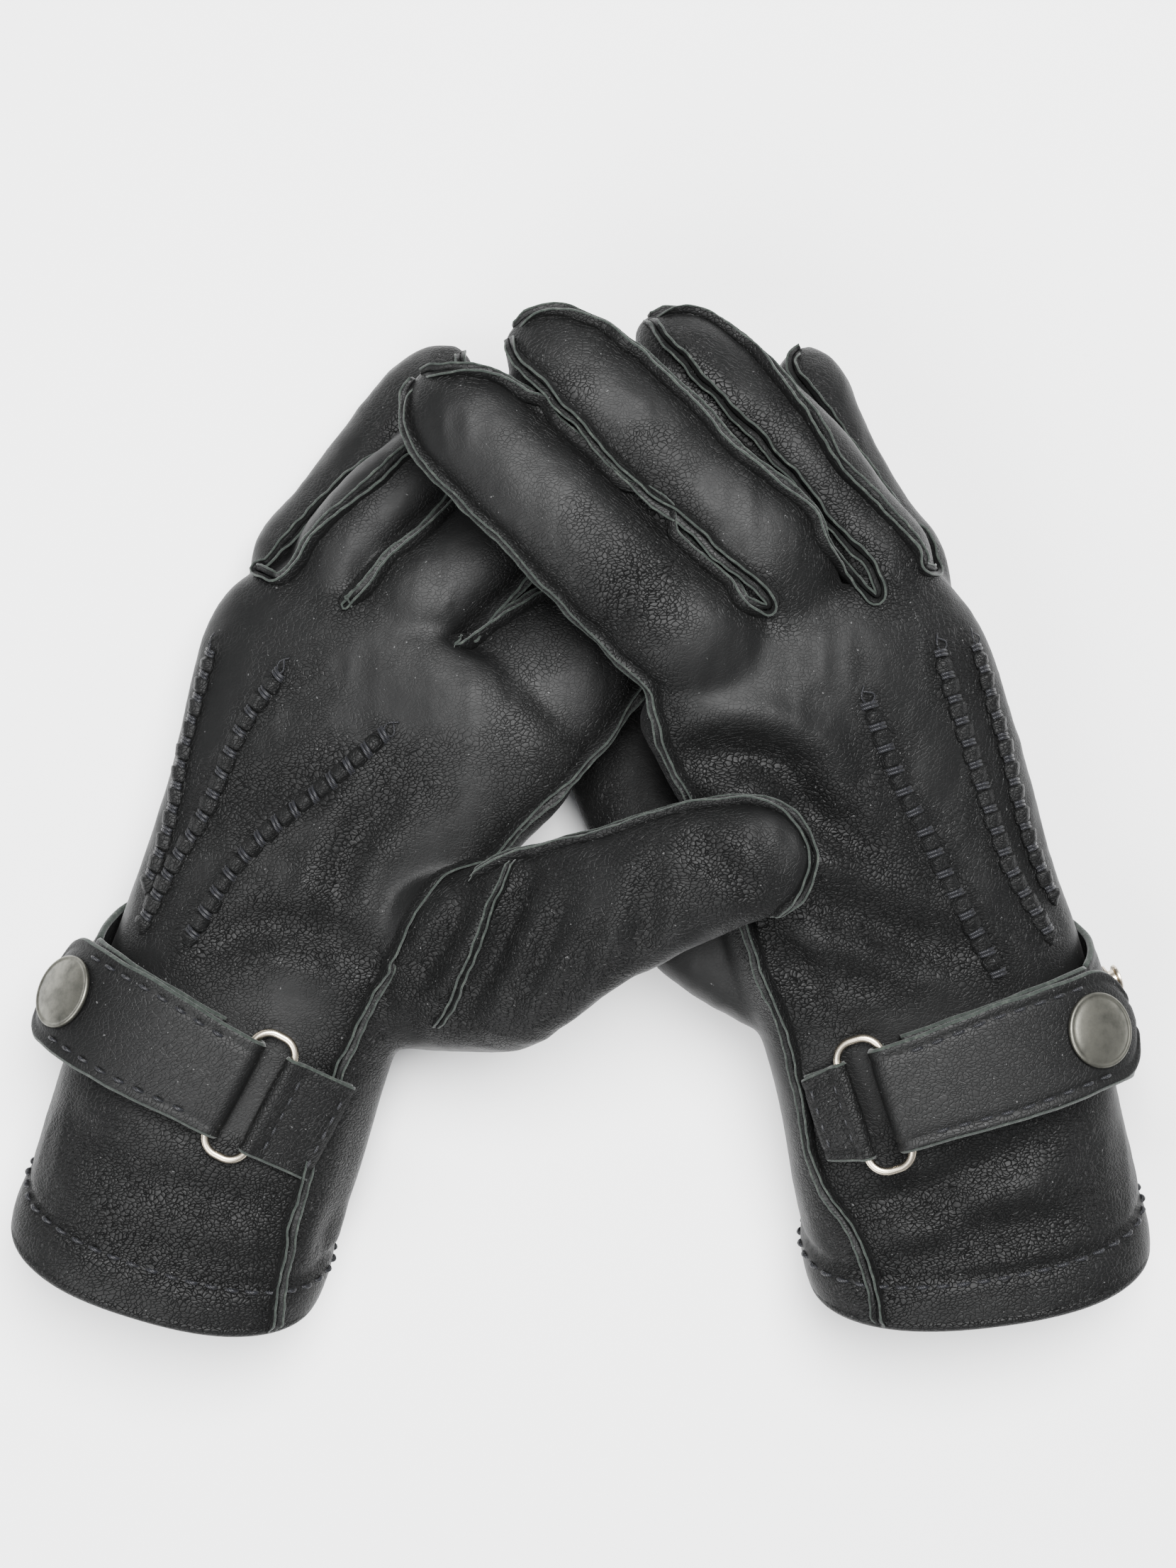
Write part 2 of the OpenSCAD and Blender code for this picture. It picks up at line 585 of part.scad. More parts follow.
module keeper_stitching(glove) color(THREAD)
    on_wrist(glove, glove[5][5] + 4, sewn_g + 2 * strap_t + 0.5)
        for (y = [-2:2]) translate([0, y * strap_pitch * 0.9, 0]) rotate([0, 0, 90]) stitch();

module part(name, glove) {
    if (name == "trank") trank(glove);
    if (name == "fourchettes") fourchettes(glove);
    if (name == "thumb") thumb(glove);
    if (name == "lining") lining(glove);
    if (name == "hem_fold") hem_fold(glove);
    if (name == "finger_seams") finger_seams(glove);
    if (name == "side_seam") side_seam(glove);
    if (name == "thumb_seam") thumb_seam(glove);
    if (name == "tuck_inner") tuck(glove, 0);
    if (name == "tuck_middle") tuck(glove, 1);
    if (name == "tuck_outer") tuck(glove, 2);
    if (name == "strap_base") strap_base(glove);
    if (name == "strap_root") strap_root(glove);
    if (name == "strap_flap") strap_flap(glove);
    if (name == "keeper") keeper(glove);
    if (name == "ring") ring(glove);
    if (name == "snap_cap") snap_cap(glove);
    if (name == "snap_socket") snap_socket(glove);
    if (name == "snap_stud") snap_stud(glove);
    if (name == "spare_stud") spare_stud(glove);
    if (name == "hem_stitches") hem_stitching(glove);
    if (name == "strap_stitches") strap_stitching(glove);
    if (name == "keeper_stitches") keeper_stitching(glove);
}

// Puts the origin under the middle of the pair
to_origin = [0.44, -0.36, 0];
KINDS = [
    "trank", "fourchettes", "thumb", "lining", "hem_fold", "finger_seams", "side_seam", "thumb_seam",
    "tuck_inner", "tuck_middle", "tuck_outer", "strap_base", "strap_root", "strap_flap", "keeper",
    "ring",
    "snap_cap", "snap_socket", "snap_stud", "spare_stud", "hem_stitches", "strap_stitches",
    "keeper_stitches",
];
for (kind = KINDS) {
    translate(to_origin) part(kind, LEFT);
    translate(to_origin) part(kind, RIGHT);
}
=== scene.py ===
"""A pair of hand-sewn black leather gloves, lying interlocked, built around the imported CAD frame.

Lengths are in millimetres in the CAD's own drawing frame until to_world() turns them into metres.
"""

import math

import bmesh
import bpy
import numpy as np
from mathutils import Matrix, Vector
from mathutils.bvhtree import BVHTree
from mathutils.kdtree import KDTree


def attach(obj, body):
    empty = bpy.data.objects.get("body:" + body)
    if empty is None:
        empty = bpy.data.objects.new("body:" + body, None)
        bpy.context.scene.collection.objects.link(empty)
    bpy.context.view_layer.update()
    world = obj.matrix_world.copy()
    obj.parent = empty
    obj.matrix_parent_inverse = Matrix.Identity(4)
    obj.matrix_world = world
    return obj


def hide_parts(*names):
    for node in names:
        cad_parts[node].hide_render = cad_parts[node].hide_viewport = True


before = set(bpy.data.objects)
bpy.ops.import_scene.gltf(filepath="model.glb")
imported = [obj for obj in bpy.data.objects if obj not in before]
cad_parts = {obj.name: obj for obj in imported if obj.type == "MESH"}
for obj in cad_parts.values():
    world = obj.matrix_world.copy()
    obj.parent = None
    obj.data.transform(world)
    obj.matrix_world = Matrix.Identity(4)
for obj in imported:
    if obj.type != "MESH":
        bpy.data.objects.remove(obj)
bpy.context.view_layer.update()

MM = 0.001
# Where the drawing frame's origin lies in the row's frame
SHIFT = np.array([0.44, -0.36, 0.0])
SQUARENESS = 0.86

# ---- The same driving sizes as the CAD model, in millimetres ----
LEATHER_T = 1.2
LINING_T = 1.0
HEM_L = 11.0
SEAM_H = 2.6
STRAP_W = 28.0
STRAP_T = 1.6
RING_L = 30.0
RING_W = 10.0
RING_CORNER = 4.2
WIRE_R = 0.9
LOOP_IN = WIRE_R + 0.6
LOOP_OUT = LOOP_IN + STRAP_T
BAR_G = LOOP_OUT + 0.4
LOOP_W = RING_L - 5
BASE_G = (1.4, 3.5)
FLAP_G = (BAR_G + LOOP_IN + 0.05, 7.9)
SEWN_G = 0.6
CAP_D = 16.8
SPARE_D = 6.4
SPARE_H = 3.2

# A station is [x, y, z, width, thickness, heading, roll, lean], as in the CAD model
LEFT_HAND = [
    [-95.5, -98, 21.2, 73, 43, 16, 0, 13], [-90.5, -82, 21.5, 72, 42, 19, 0, 8],
    [-84, -63, 22, 72, 40, 23, 0, 4], [-77, -44, 23, 70, 37, 26, 2, 1],
    [-70, -25, 24, 70, 34, 27, 4], [-62, -6, 26, 74, 31, 27, 6], [-54, 10, 27.5, 83, 29, 26, 8],
    [-46, 24, 29, 92, 28, 25, 9], [-40, 36, 30, 89, 26, 25, 9], [-38, 45.4, 30, 67, 21, 27, 9],
]
LEFT_FINGERS = {
    "little": [
        [-70, 38, 22, 12, 10, 28, 15], [-68, 58, 16, 20, 19.5, 33, 28],
        [-58.5, 72.5, 12.5, 19, 19, 36, 28], [-50, 84, 11, 19, 19, 37, 28],
        [-42.5, 94, 10.5, 19, 18, 38, 28], [-36, 101.5, 10.5, 18.5, 17, 40, 28],
        [-31, 107, 10, 14, 12, 42, 28], [-28, 110, 10, 5, 4, 42, 28],
    ],
    "ring": [
        [-60, 38, 27, 14, 12, 28, 10], [-57, 57, 27, 21, 20.5, 40, 18],
        [-46, 71.5, 27, 20.5, 20, 45, 18], [-37, 79.5, 26.5, 20.5, 19.5, 46, 18],
        [-30.5, 85.5, 26, 20, 19, 46, 18], [-24.5, 91, 25, 19, 18, 46, 18],
        [-20, 95, 24.5, 14, 12, 46, 18], [-17, 98, 24, 5, 4, 46, 18],
    ],
    "middle": [
        [-49, 33, 29, 16, 12, 30, 8], [-39.5, 47.5, 31, 26, 21, 42, 8],
        [-28.5, 57, 31, 25, 20.5, 48, 8], [-18, 66, 30, 25, 20, 49, 8],
        [-7.5, 75, 28.5, 24.5, 19.5, 49, 8], [2, 83.5, 26.5, 23, 18.5, 49, 8],
        [8, 88.5, 25, 17, 13, 49, 8], [11.5, 91.5, 24.5, 5, 4, 49, 8],
    ],
    "index": [
        [-34, 18, 31, 22, 12, 38, 6], [-14, 29, 31.5, 40, 20, 46, 6],
        [-1, 39.5, 30.5, 36, 20, 50, 4], [10, 49, 28.5, 30, 19.5, 51, 4],
        [19, 57, 25.5, 27, 19, 52, 4], [27, 64, 23, 25, 18, 52, 4], [32, 68.5, 21.5, 18, 13, 52, 4],
        [35, 71.5, 21, 5, 4, 52, 4],
    ],
}
LEFT_THUMB = [
    [-54, -40, 25, 26, 16, 60, 4], [-34, -32, 32, 44, 28, 62, 2], [-20.5, -30.5, 40, 43, 26, 66, 0],
    [-7, -24, 49, 37.5, 22, 70, 0], [7, -17.5, 57, 31.5, 19, 70, 0],
    [22, -11.5, 62, 29, 17.5, 72, 0], [34, -8, 64, 26.5, 17, 78, 0], [42, -6.8, 64, 23, 15, 85, 0],
    [47, -6.6, 64.5, 15, 11, 90, 0], [50, -6.6, 64.5, 5, 4, 90, 0],
]
RIGHT_HAND = [
    [90.5, -99, 21.2, 79, 43, -7, 0, 13], [87, -80, 22.5, 78, 41, -11, -2, 8],
    [82, -58, 26, 76, 38, -16, -4, 4], [77, -39, 30, 76, 35, -18, -6, 1],
    [70.5, -22, 34, 77, 33, -18, -8], [65.5, -5, 38, 77, 31, -17, -9],
    [60, 12, 42, 78, 29, -18, -10], [53.5, 27, 46, 80, 28, -20, -11],
    [47.5, 37.5, 48, 78, 26, -22, -12], [45, 46, 49, 66, 21, -26, -12],
]
RIGHT_FINGERS = {
    "index": [
        [38, 26, 54, 18, 12, -34, -8], [26, 38.5, 58, 28, 21, -42, -6],
        [15.5, 48, 59, 27, 20.5, -44, -4], [4.5, 58, 59.5, 27, 20, -45, 0],
        [-5.5, 68, 59, 26.5, 20, -45, 0], [-16, 78, 58, 26.5, 19.5, -43, 0],
        [-25.5, 88, 57, 25, 18.5, -40, 0], [-32, 94.5, 56, 18, 14, -40, 0],
        [-36, 98.5, 55.5, 5, 4, -40, 0],
    ],
    "middle": [
        [50, 36, 50, 16, 12, -30, -12], [43, 56, 54, 26, 21, -40, -12],
        [32, 68.5, 56, 24.5, 20.5, -44, -10], [23.5, 76, 56.5, 24.5, 20, -46, -10],
        [15, 84, 56.5, 24.5, 20, -46, -10], [6, 92, 56, 24, 19.5, -48, -10],
        [-4, 100, 55.5, 23.5, 18.5, -54, -10], [-11.5, 105, 55, 17, 13, -60, -10],
        [-16.5, 107.5, 54.5, 5, 4, -62, -10],
    ],
    "ring": [
        [68, 36, 45, 14, 12, -26, -16], [68, 55, 44, 22, 21, -36, -24],
        [58.5, 67.5, 45, 22, 20.5, -40, -26], [49.5, 79.5, 46, 22, 20, -41, -28],
        [40, 89, 46, 22, 20, -42, -28], [30.5, 96.5, 46, 21.5, 19.5, -43, -28],
        [22, 104, 46, 20, 18, -45, -28], [16.5, 108.5, 45.5, 14, 12, -48, -28],
        [12.5, 111.5, 45, 5, 4, -50, -28],
    ],
    "little": [
        [78, 36, 40, 12, 10, -26, -18], [72.5, 55, 31.5, 22, 20.5, -32, -26],
        [65, 68, 28.5, 21, 19.5, -33, -30], [58.5, 79.5, 27, 21, 19, -32, -30],
        [54, 90, 26.5, 20.5, 18.5, -28, -30], [51.5, 98, 26.5, 20, 17.5, -20, -30],
        [50, 105, 26.5, 14, 12, -14, -30], [49.5, 109, 26.5, 5, 4, -14, -30],
    ],
}
RIGHT_THUMB = [
    [50, -40, 33, 24, 16, -42, 0], [33, -21, 27, 40, 27, -38, 0], [24, -8.5, 21.5, 36, 24, -34, 0],
    [16, 3.5, 16, 32, 21, -30, 0], [9.5, 15.5, 12, 28.5, 18, -28, 0],
    [4, 26.5, 9.5, 25, 16, -26, 0], [0.5, 34, 8.5, 22, 14, -24, 0], [-1.5, 38.5, 8, 16, 11, -22, 0],
    [-2.8, 42, 8, 5, 4, -22, 0],
]


def seam(**limbs):
    """A seam's stops, limb by limb, as (limb, place along it, angle round it)."""
    return [(limb, u, a) for limb, stops in limbs.items() for u, a in stops]


# Everything about one glove. The wrist is a station. The strap is (ring, snap, flap's end, root's
# end, the root's reach along the hand, keeper's end), as angles round the wrist but for the reach.
# Tucks are (place, angle) pairs on the hand. A fold is (limb, half width, depth, line), and its line
# is (place, angle) pairs too.
GLOVES = {
    "left": {
        "side": 1,
        "limbs": {"hand": LEFT_HAND, "thumb": LEFT_THUMB, **LEFT_FINGERS},
        "wrist": [-82, -56, 22.3, 71.5, 39.2, 28, 1, 0],
        "strap": (79, 148, 170, 214, 9, 43),
        "side_seam": seam(
            hand=[(0, 41), (1, 46), (2, 49), (3, 48), (4, 42), (5, 27), (6, 23), (6.9, 23)],
            index=[(1.3, 16), (2, 22), (3, 32), (4, 38), (5, 40), (6, 42), (6.8, 62)],
        ),
        "crotch_seams": [
            seam(
                index=[
                    (6.9, 110), (6, 138), (5, 142), (4, 143), (3, 141), (2, 139), (1.4, 138),
                    (0.95, 138),
                ],
                middle=[
                    (0.75, 18), (1.2, 14), (2, 16), (3, 30), (4, 36), (5, 40), (6, 46), (6.8, 75),
                ],
            ),
            seam(
                middle=[
                    (6.9, 115), (6, 140), (5, 144), (4, 147), (3, 148), (2, 139), (1.3, 134),
                    (0.85, 134),
                ],
                ring=[
                    (0.75, 46), (1.2, 24), (2, 17), (3, 26), (4, 32), (5, 38), (6, 46), (6.8, 75),
                ],
            ),
            seam(
                ring=[
                    (6.9, 100), (6, 112), (5, 108), (4, 100), (3, 96), (2, 96), (1.4, 104),
                    (0.7, 132),
                ],
                little=[
                    (0.7, 92), (1.2, 80), (1.8, 72), (2.6, 62), (3.6, 40), (5, 36), (6, 42),
                    (6.8, 75),
                ],
            ),
        ],
        "thumb_seam": seam(
            thumb=[
                (2.2, 150), (2.9, 164), (3.6, 170), (4.5, 172), (5.5, 172), (6.4, 166), (7.2, 152),
                (8, 128), (8.6, 95), (8.3, 55), (7.4, 22), (6.5, 8),
            ],
        ),
        "thumb_base": seam(
            thumb=[(0.75, 50), (1.1, 72), (1.65, 90), (2.1, 106), (2.4, 124), (2.85, 158)],
        ),
        "tucks": {
            "inner": [(6.8, 85), (5.9, 90), (4.7, 104), (3.5, 115)],
            "middle": [(6.95, 116), (6.05, 122), (4.85, 127), (4.25, 134), (3.35, 142)],
            "outer": [(6.8, 150), (5.6, 152), (4.5, 147), (3.75, 149)],
        },
        "folds": [
            ("thumb", 4.2, 2, [(0.95, 56), (1.75, 82), (2.5, 106), (3.2, 144)]),
            ("thumb", 3.4, 1.6, [(1.5, 44), (2.2, 68), (2.9, 88), (3.5, 118)]),
            ("thumb", 3, 1.1, [(2.3, 36), (2.95, 56), (3.5, 82)]),
            ("thumb", 3, 1.2, [(0.8, 84), (1.5, 104), (2.2, 132)]),
            ("thumb", 2.6, 0.8, [(5.3, 116), (5.7, 90), (6.2, 55)]),
            ("thumb", 3.4, 1.1, [(3.7, 36), (4.2, 62), (4.5, 100)]),
            ("hand", 4.5, 1.6, [(3.6, 106), (4.1, 90), (4.25, 68), (4.1, 48)]),
            ("hand", 4, 1.1, [(6.3, 74), (5.4, 77), (4.7, 74), (4.2, 66)]),
            ("hand", 5, 1.2, [(1.45, 150), (1.3, 108), (1.4, 78), (1.5, 50)]),
            ("hand", 5, 0.9, [(0.75, 130), (0.85, 100), (0.8, 70), (0.9, 48)]),
            ("hand", 3.5, 1.2, [(3.1, 24), (2, 20), (0.7, 18)]),
            ("hand", 4, 0.8, [(5.1, 128), (5.4, 108), (5.9, 90)]),
            ("hand", 5, 1.6, [(4.4, 220), (4.2, 250), (4.3, 290), (4.5, 320)]),
            ("hand", 5, 1.4, [(6.4, 215), (6.1, 250), (5.9, 285)]),
        ],
    },
    "right": {
        "side": -1,
        "limbs": {"hand": RIGHT_HAND, "thumb": RIGHT_THUMB, **RIGHT_FINGERS},
        "wrist": [81.5, -56, 27.4, 76, 39.4, -18, -4, 0],
        "strap": (65, 131, 153, 200, 5, 38),
        "side_seam": seam(
            hand=[
                (0, 127), (0.5, 127), (1, 134), (1.7, 150), (3, 149), (4, 150), (5, 152), (6, 159),
                (6.8, 160), (7.4, 157), (7.85, 154),
            ],
            index=[
                (1.15, 168), (1.9, 171), (2.8, 161), (3.8, 157), (4.8, 157), (5.8, 158), (6.6, 158),
                (7.4, 146), (7.85, 116),
            ],
        ),
        "crotch_seams": [
            seam(
                index=[
                    (7.9, 88), (7.2, 58), (6.6, 40), (6, 28), (5.2, 20), (4.4, 14), (3.4, 14),
                    (2.4, 20), (1.6, 28), (1.05, 38),
                ],
                middle=[
                    (0.75, 124), (1.2, 130), (2, 138), (3, 142), (4, 147), (5, 138), (6, 130),
                    (7, 128), (7.8, 110),
                ],
            ),
            seam(
                middle=[
                    (7.8, 75), (7.1, 44), (6.2, 32), (5.2, 36), (4.5, 40), (3.7, 44), (2.8, 50),
                    (1.9, 50), (1.3, 44), (0.85, 46),
                ],
                ring=[
                    (0.85, 138), (1.3, 130), (1.9, 135), (2.6, 140), (3.4, 141), (4.2, 136),
                    (5, 128), (5.9, 124), (6.8, 116), (7.7, 96),
                ],
            ),
            seam(
                ring=[
                    (7.8, 70), (7.1, 40), (6, 36), (5.1, 44), (4.4, 70), (3.8, 82), (3, 90),
                    (2.2, 88), (1.5, 85), (1, 78),
                ],
                little=[
                    (0.9, 104), (1.3, 94), (2.2, 90), (3.2, 97), (4, 108), (5, 122), (6, 140),
                    (6.8, 115),
                ],
            ),
        ],
        "thumb_seam": seam(
            thumb=[
                (2, 22), (3, 15), (4, 12), (5, 12), (6, 20), (7, 50), (7.6, 90), (7, 130), (6, 160),
            ],
        ),
        "thumb_base": seam(
            thumb=[(1.3, 170), (1.5, 140), (1.7, 110), (1.6, 80), (1.4, 50)],
        ),
        "tucks": {
            "inner": [(6.75, 85), (5.65, 84), (5.05, 81), (4.4, 78), (3.1, 71)],
            "middle": [(7.1, 54), (6.05, 56), (4.75, 54), (4.1, 51), (3.2, 41)],
            "outer": [(7, 34), (5.8, 36), (4.55, 37), (3.6, 28)],
        },
        "folds": [
            ("hand", 5, 3, [(7, 158), (6.65, 126), (6.25, 113), (5.6, 104)]),
            ("hand", 4.2, 1.3, [(5.8, 150), (5.75, 118), (5.2, 101), (4.6, 94)]),
            ("hand", 4.6, 1.7, [(4.85, 128), (4.35, 106), (3.75, 90), (3.3, 72)]),
            ("hand", 4, 1.4, [(4.7, 142), (3.8, 132), (3.2, 124)]),
            ("hand", 3.6, 0.9, [(4.1, 140), (3.7, 118), (3.35, 100)]),
            ("hand", 5, 1.5, [(1.25, 138), (1.3, 112), (1.45, 90), (1.6, 62)]),
            ("hand", 4.5, 1, [(0.6, 132), (0.8, 102), (0.85, 76), (0.9, 50)]),
            ("hand", 4, 1, [(1.5, 118), (1.1, 98), (1, 84)]),
            ("index", 3, 0.7, [(2.3, 170), (2.2, 130), (2.4, 100)]),
            ("hand", 5, 1.6, [(4.4, 220), (4.2, 250), (4.3, 290), (4.5, 320)]),
            ("hand", 5, 1.4, [(6.4, 225), (6.1, 260), (5.9, 300)]),
        ],
    },
}


# ---- Sizes of the details that only this model has, in millimetres ----
SHELL_VOXEL = 0.95
LINING_VOXEL = 1.9
# How much the fused limbs are grown, for the relaxing takes about as much away
SHELL_SPARE = 0.15
FOLD_STEP = 1.5


# ---- Geometry helpers ----


def to_world(points):
    return (np.asarray(points, float) + SHIFT) * MM


def unit(v):
    return v / np.maximum(np.linalg.norm(v, axis=-1, keepdims=True), 1e-12)


def boxy(v):
    return np.sign(v) * np.abs(v) ** SQUARENESS


def padded_table(limb):
    return np.array([list(row) + [0.0] * (8 - len(row)) for row in limb], float)


def spline(table, u):
    """Rows of a table at the fractional places u, along a Catmull-Rom curve through its rows."""
    u = np.asarray(u, float)
    last = len(table) - 1
    i = np.clip(np.floor(u).astype(int), 0, last - 1)
    f = (u - i)[..., None]
    p0, p1 = table[np.maximum(i - 1, 0)], table[i]
    p2, p3 = table[i + 1], table[np.minimum(i + 2, last)]
    bend, twist = 2 * p0 - 5 * p1 + 4 * p2 - p3, 3 * p1 - p0 - 3 * p2 + p3
    return 0.5 * (2 * p1 + (p2 - p0) * f + bend * f**2 + twist * f**3)


def axes(s):
    """The directions along, across and up through a station's section."""
    heading, roll = np.radians(s[..., 5]), np.radians(s[..., 6])
    fore = np.stack([np.sin(heading), np.cos(heading), 0 * heading], -1)
    level = np.cos(roll)
    right = np.stack([np.cos(heading) * level, -np.sin(heading) * level, np.sin(roll)], -1)
    return fore, right, np.cross(right, fore)


def on_section(s, angle, g=0.0):
    fore, right, up = axes(s)
    a = np.radians(np.asarray(angle, float))
    across, high = boxy(np.cos(a)), boxy(np.sin(a))
    leaning = s[..., :3] - fore * (s[..., 7] * high)[..., None]
    sideways = right * ((s[..., 3] / 2 + g) * across)[..., None]
    return leaning + sideways + up * ((s[..., 4] / 2 + g) * high)[..., None]


def on_limb(limb, u, angle, g=0.0):
    return on_section(spline(padded_table(limb), u), angle, g)


def side_angle(glove, angle):
    return angle if glove["side"] > 0 else 180 - angle


def wrist_axes(glove):
    """The middle of the wrist's section and its directions along, across and up."""
    s = np.array(glove["wrist"], float)
    return s[:3], *axes(s)


def eased(line):
    """All but the line's first and last points, each drawn towards its neighbours."""
    return 0.25 * line[:-2] + 0.5 * line[1:-1] + 0.25 * line[2:]


def distances(line):
    """How far along the line each of its points lies."""
    return np.concatenate([[0], np.cumsum(np.linalg.norm(np.diff(line, axis=0), axis=1))])


def line_frame(line, ups):
    """Each point's direction along a line, its sideways direction and its distance along the line."""
    t = unit(np.gradient(line, axis=0))
    return t, unit(np.cross(t, ups)), distances(line)


def resampled(points, step):
    """Points every step along a smooth curve through the given points."""
    points = np.asarray(points, float)
    fine = spline(points, np.linspace(0, len(points) - 1, 24 * len(points)))
    length = distances(fine)
    count = max(int(length[-1] / step), 2)
    at = np.linspace(0, length[-1], count + 1)
    return np.stack([np.interp(at, length, fine[:, k]) for k in range(fine.shape[1])], 1)


def value_noise(p, size, seed):
    """Smooth noise from -1 to 1 that varies over about size millimetres."""
    q = np.asarray(p, float) / size + 100.0
    i = np.floor(q).astype(np.int64)
    f = q - i
    f = f * f * (3 - 2 * f)
    total = 0
    for corner in np.ndindex(2, 2, 2):
        k = i + np.array(corner)
        n = (k[..., 0] * 73856093) ^ (k[..., 1] * 19349663) ^ (k[..., 2] * 83492791) ^ (seed * 7919)
        n = (n ^ (n >> 13)) * 1274126177 & 0x7FFFFFFF
        weight = np.prod(np.where(np.array(corner), f, 1 - f), axis=-1)
        total = total + weight * ((n ^ (n >> 16)) % 65536 / 32767.5 - 1)
    return total


def circle(right, up, sides):
    """Directions to points evenly spaced round a circle, from its directions right and up."""
    a = np.linspace(0, 2 * np.pi, sides, endpoint=False)
    return right * np.cos(a)[None, :, None] + up * np.sin(a)[None, :, None]


def tube_rings(path, radius, sides, ups):
    """Rings of points around a path. radius may be one number or one for each point."""
    path = np.asarray(path, float)
    t = unit(np.gradient(path, axis=0))
    b = unit(np.cross(t, ups))
    n = np.cross(b, t)
    r = np.broadcast_to(np.asarray(radius, float), (len(path),))[:, None, None]
    return path[:, None] + r * circle(b[:, None], n[:, None], sides)


def loft_faces(rings, sides, offset=0, closed_ends=True, closed_round=True, closed_along=False):
    faces = []
    span = sides if closed_round else sides - 1
    for i in range(rings if closed_along else rings - 1):
        a, b = offset + i * sides, offset + (i + 1) % rings * sides
        for k in range(span):
            j = (k + 1) % sides
            faces.append((a + k, a + j, b + j, b + k))
    if closed_ends and not closed_along:
        faces.append(tuple(offset + k for k in reversed(range(sides))))
        faces.append(tuple(offset + (rings - 1) * sides + k for k in range(sides)))
    return faces


class Builder:
    """Collects lofted solids into one mesh, which may become a piece of one side's glove."""

    def __init__(self, side=""):
        self.side = side
        self.points = []
        self.faces = []
        self.slots = []
        self.count = 0

    def loft(self, rings, slots=None, **kinds):
        rings = np.asarray(rings, float)
        n, sides = rings.shape[:2]
        faces = loft_faces(n, sides, self.count, **kinds)
        self.points.append(rings.reshape(-1, 3))
        self.faces += faces
        if slots is None:
            self.slots += [0] * len(faces)
        else:
            body = [slots[k] for _ in range((len(faces) - 2) // sides) for k in range(sides)]
            self.slots += body + [0] * (len(faces) - len(body))
        self.count += n * sides

    def piece(self, name, materials, body, slot, node, smooth_angle=None, slack=0.3):
        """Makes the piece that stands for a CAD node. slack is how strongly its leather is grained and
        how much painted shade lies in the grain's valleys.
        """
        name = f"{self.side}_{name}"
        mesh = bpy.data.meshes.new(name)
        mesh.from_pydata(to_world(np.concatenate(self.points)).tolist(), [], self.faces)
        mesh.polygons.foreach_set("material_index", self.slots)
        mesh.polygons.foreach_set("use_smooth", [True] * len(self.faces))
        grain = mesh.attributes.new("slack", "FLOAT", "POINT")
        grain.data.foreach_set("value", [slack] * self.count)
        if smooth_angle:
            mesh.set_sharp_from_angle(angle=math.radians(smooth_angle))
        finished(name, mesh, materials, f"{self.side}_{body}", [f"{self.side}_{node}"])


def outward(mesh):
    bm = bmesh.new()
    bm.from_mesh(mesh)
    bmesh.ops.recalc_face_normals(bm, faces=bm.faces)
    bm.to_mesh(mesh)
    bm.free()


def finished(name, mesh, materials, body, replaces):
    """Turns a mesh in metres into a piece with its body and the nodes it stands for."""
    outward(mesh)
    for material in materials:
        mesh.materials.append(material)
    piece = bpy.data.objects.new(name, mesh)
    bpy.context.scene.collection.objects.link(piece)
    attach(piece, body)
    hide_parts(*replaces)


# ---- Materials ----


class Nodes:
    """A small helper that builds one node material."""

    def __init__(self, name):
        self.material = bpy.data.materials.new(name)
        self.material.use_nodes = True
        self.tree = self.material.node_tree
        self.shader = self.tree.nodes["Principled BSDF"]
        coords = self.tree.nodes.new("ShaderNodeTexCoord")
        self.coords = coords.outputs["Object"]

    def new(self, kind, inputs=None, **settings):
        node = self.tree.nodes.new(kind)
        for key, value in settings.items():
            setattr(node, key, value)
        for key, value in (inputs or {}).items():
            self.put(node.inputs[key], value)
        return node

    def put(self, socket, value):
        if isinstance(value, bpy.types.NodeSocket):
            self.tree.links.new(value, socket)
        else:
            socket.default_value = value

    def set(self, **values):
        for key, value in values.items():
            self.put(self.shader.inputs[key.replace("_", " ")], value)

    def noise(self, scale, detail=4.0, rough=0.5, vector=None):
        inputs = {"Vector": vector or self.coords, "Scale": scale, "Detail": detail, "Roughness": rough}
        return self.new("ShaderNodeTexNoise", inputs)

    def ramp(self, value, stops):
        node = self.new("ShaderNodeValToRGB", {"Fac": value})
        elements = node.color_ramp.elements
        while len(elements) < len(stops):
            elements.new(0.5)
        for element, (place, colour) in zip(elements, stops):
            element.position = place
            element.color = (*colour, 1.0)
        return node.outputs["Color"]

    def math(self, operation, a, b=0.0):
        node = self.new("ShaderNodeMath", operation=operation)
        self.put(node.inputs[0], a)
        self.put(node.inputs[1], b)
        return node.outputs[0]

    def mix(self, blend, amount, a, b):
        inputs = {"Fac": amount, "Color1": a, "Color2": b}
        return self.new("ShaderNodeMixRGB", inputs, blend_type=blend).outputs[0]

    def waves(self, scale, distortion, detail, **settings):
        inputs = {"Vector": self.coords, "Scale": scale, "Distortion": distortion, "Detail": detail}
        return self.new("ShaderNodeTexWave", inputs, **settings).outputs["Fac"]

    def bump(self, height, distance, strength=1.0, normal=None):
        inputs = {"Height": height, "Distance": distance, "Strength": strength}
        if normal is not None:
            inputs["Normal"] = normal
        return self.new("ShaderNodeBump", inputs).outputs["Normal"]


def grey(v):
    return (v, v, v)


BLACK = grey(0.0)


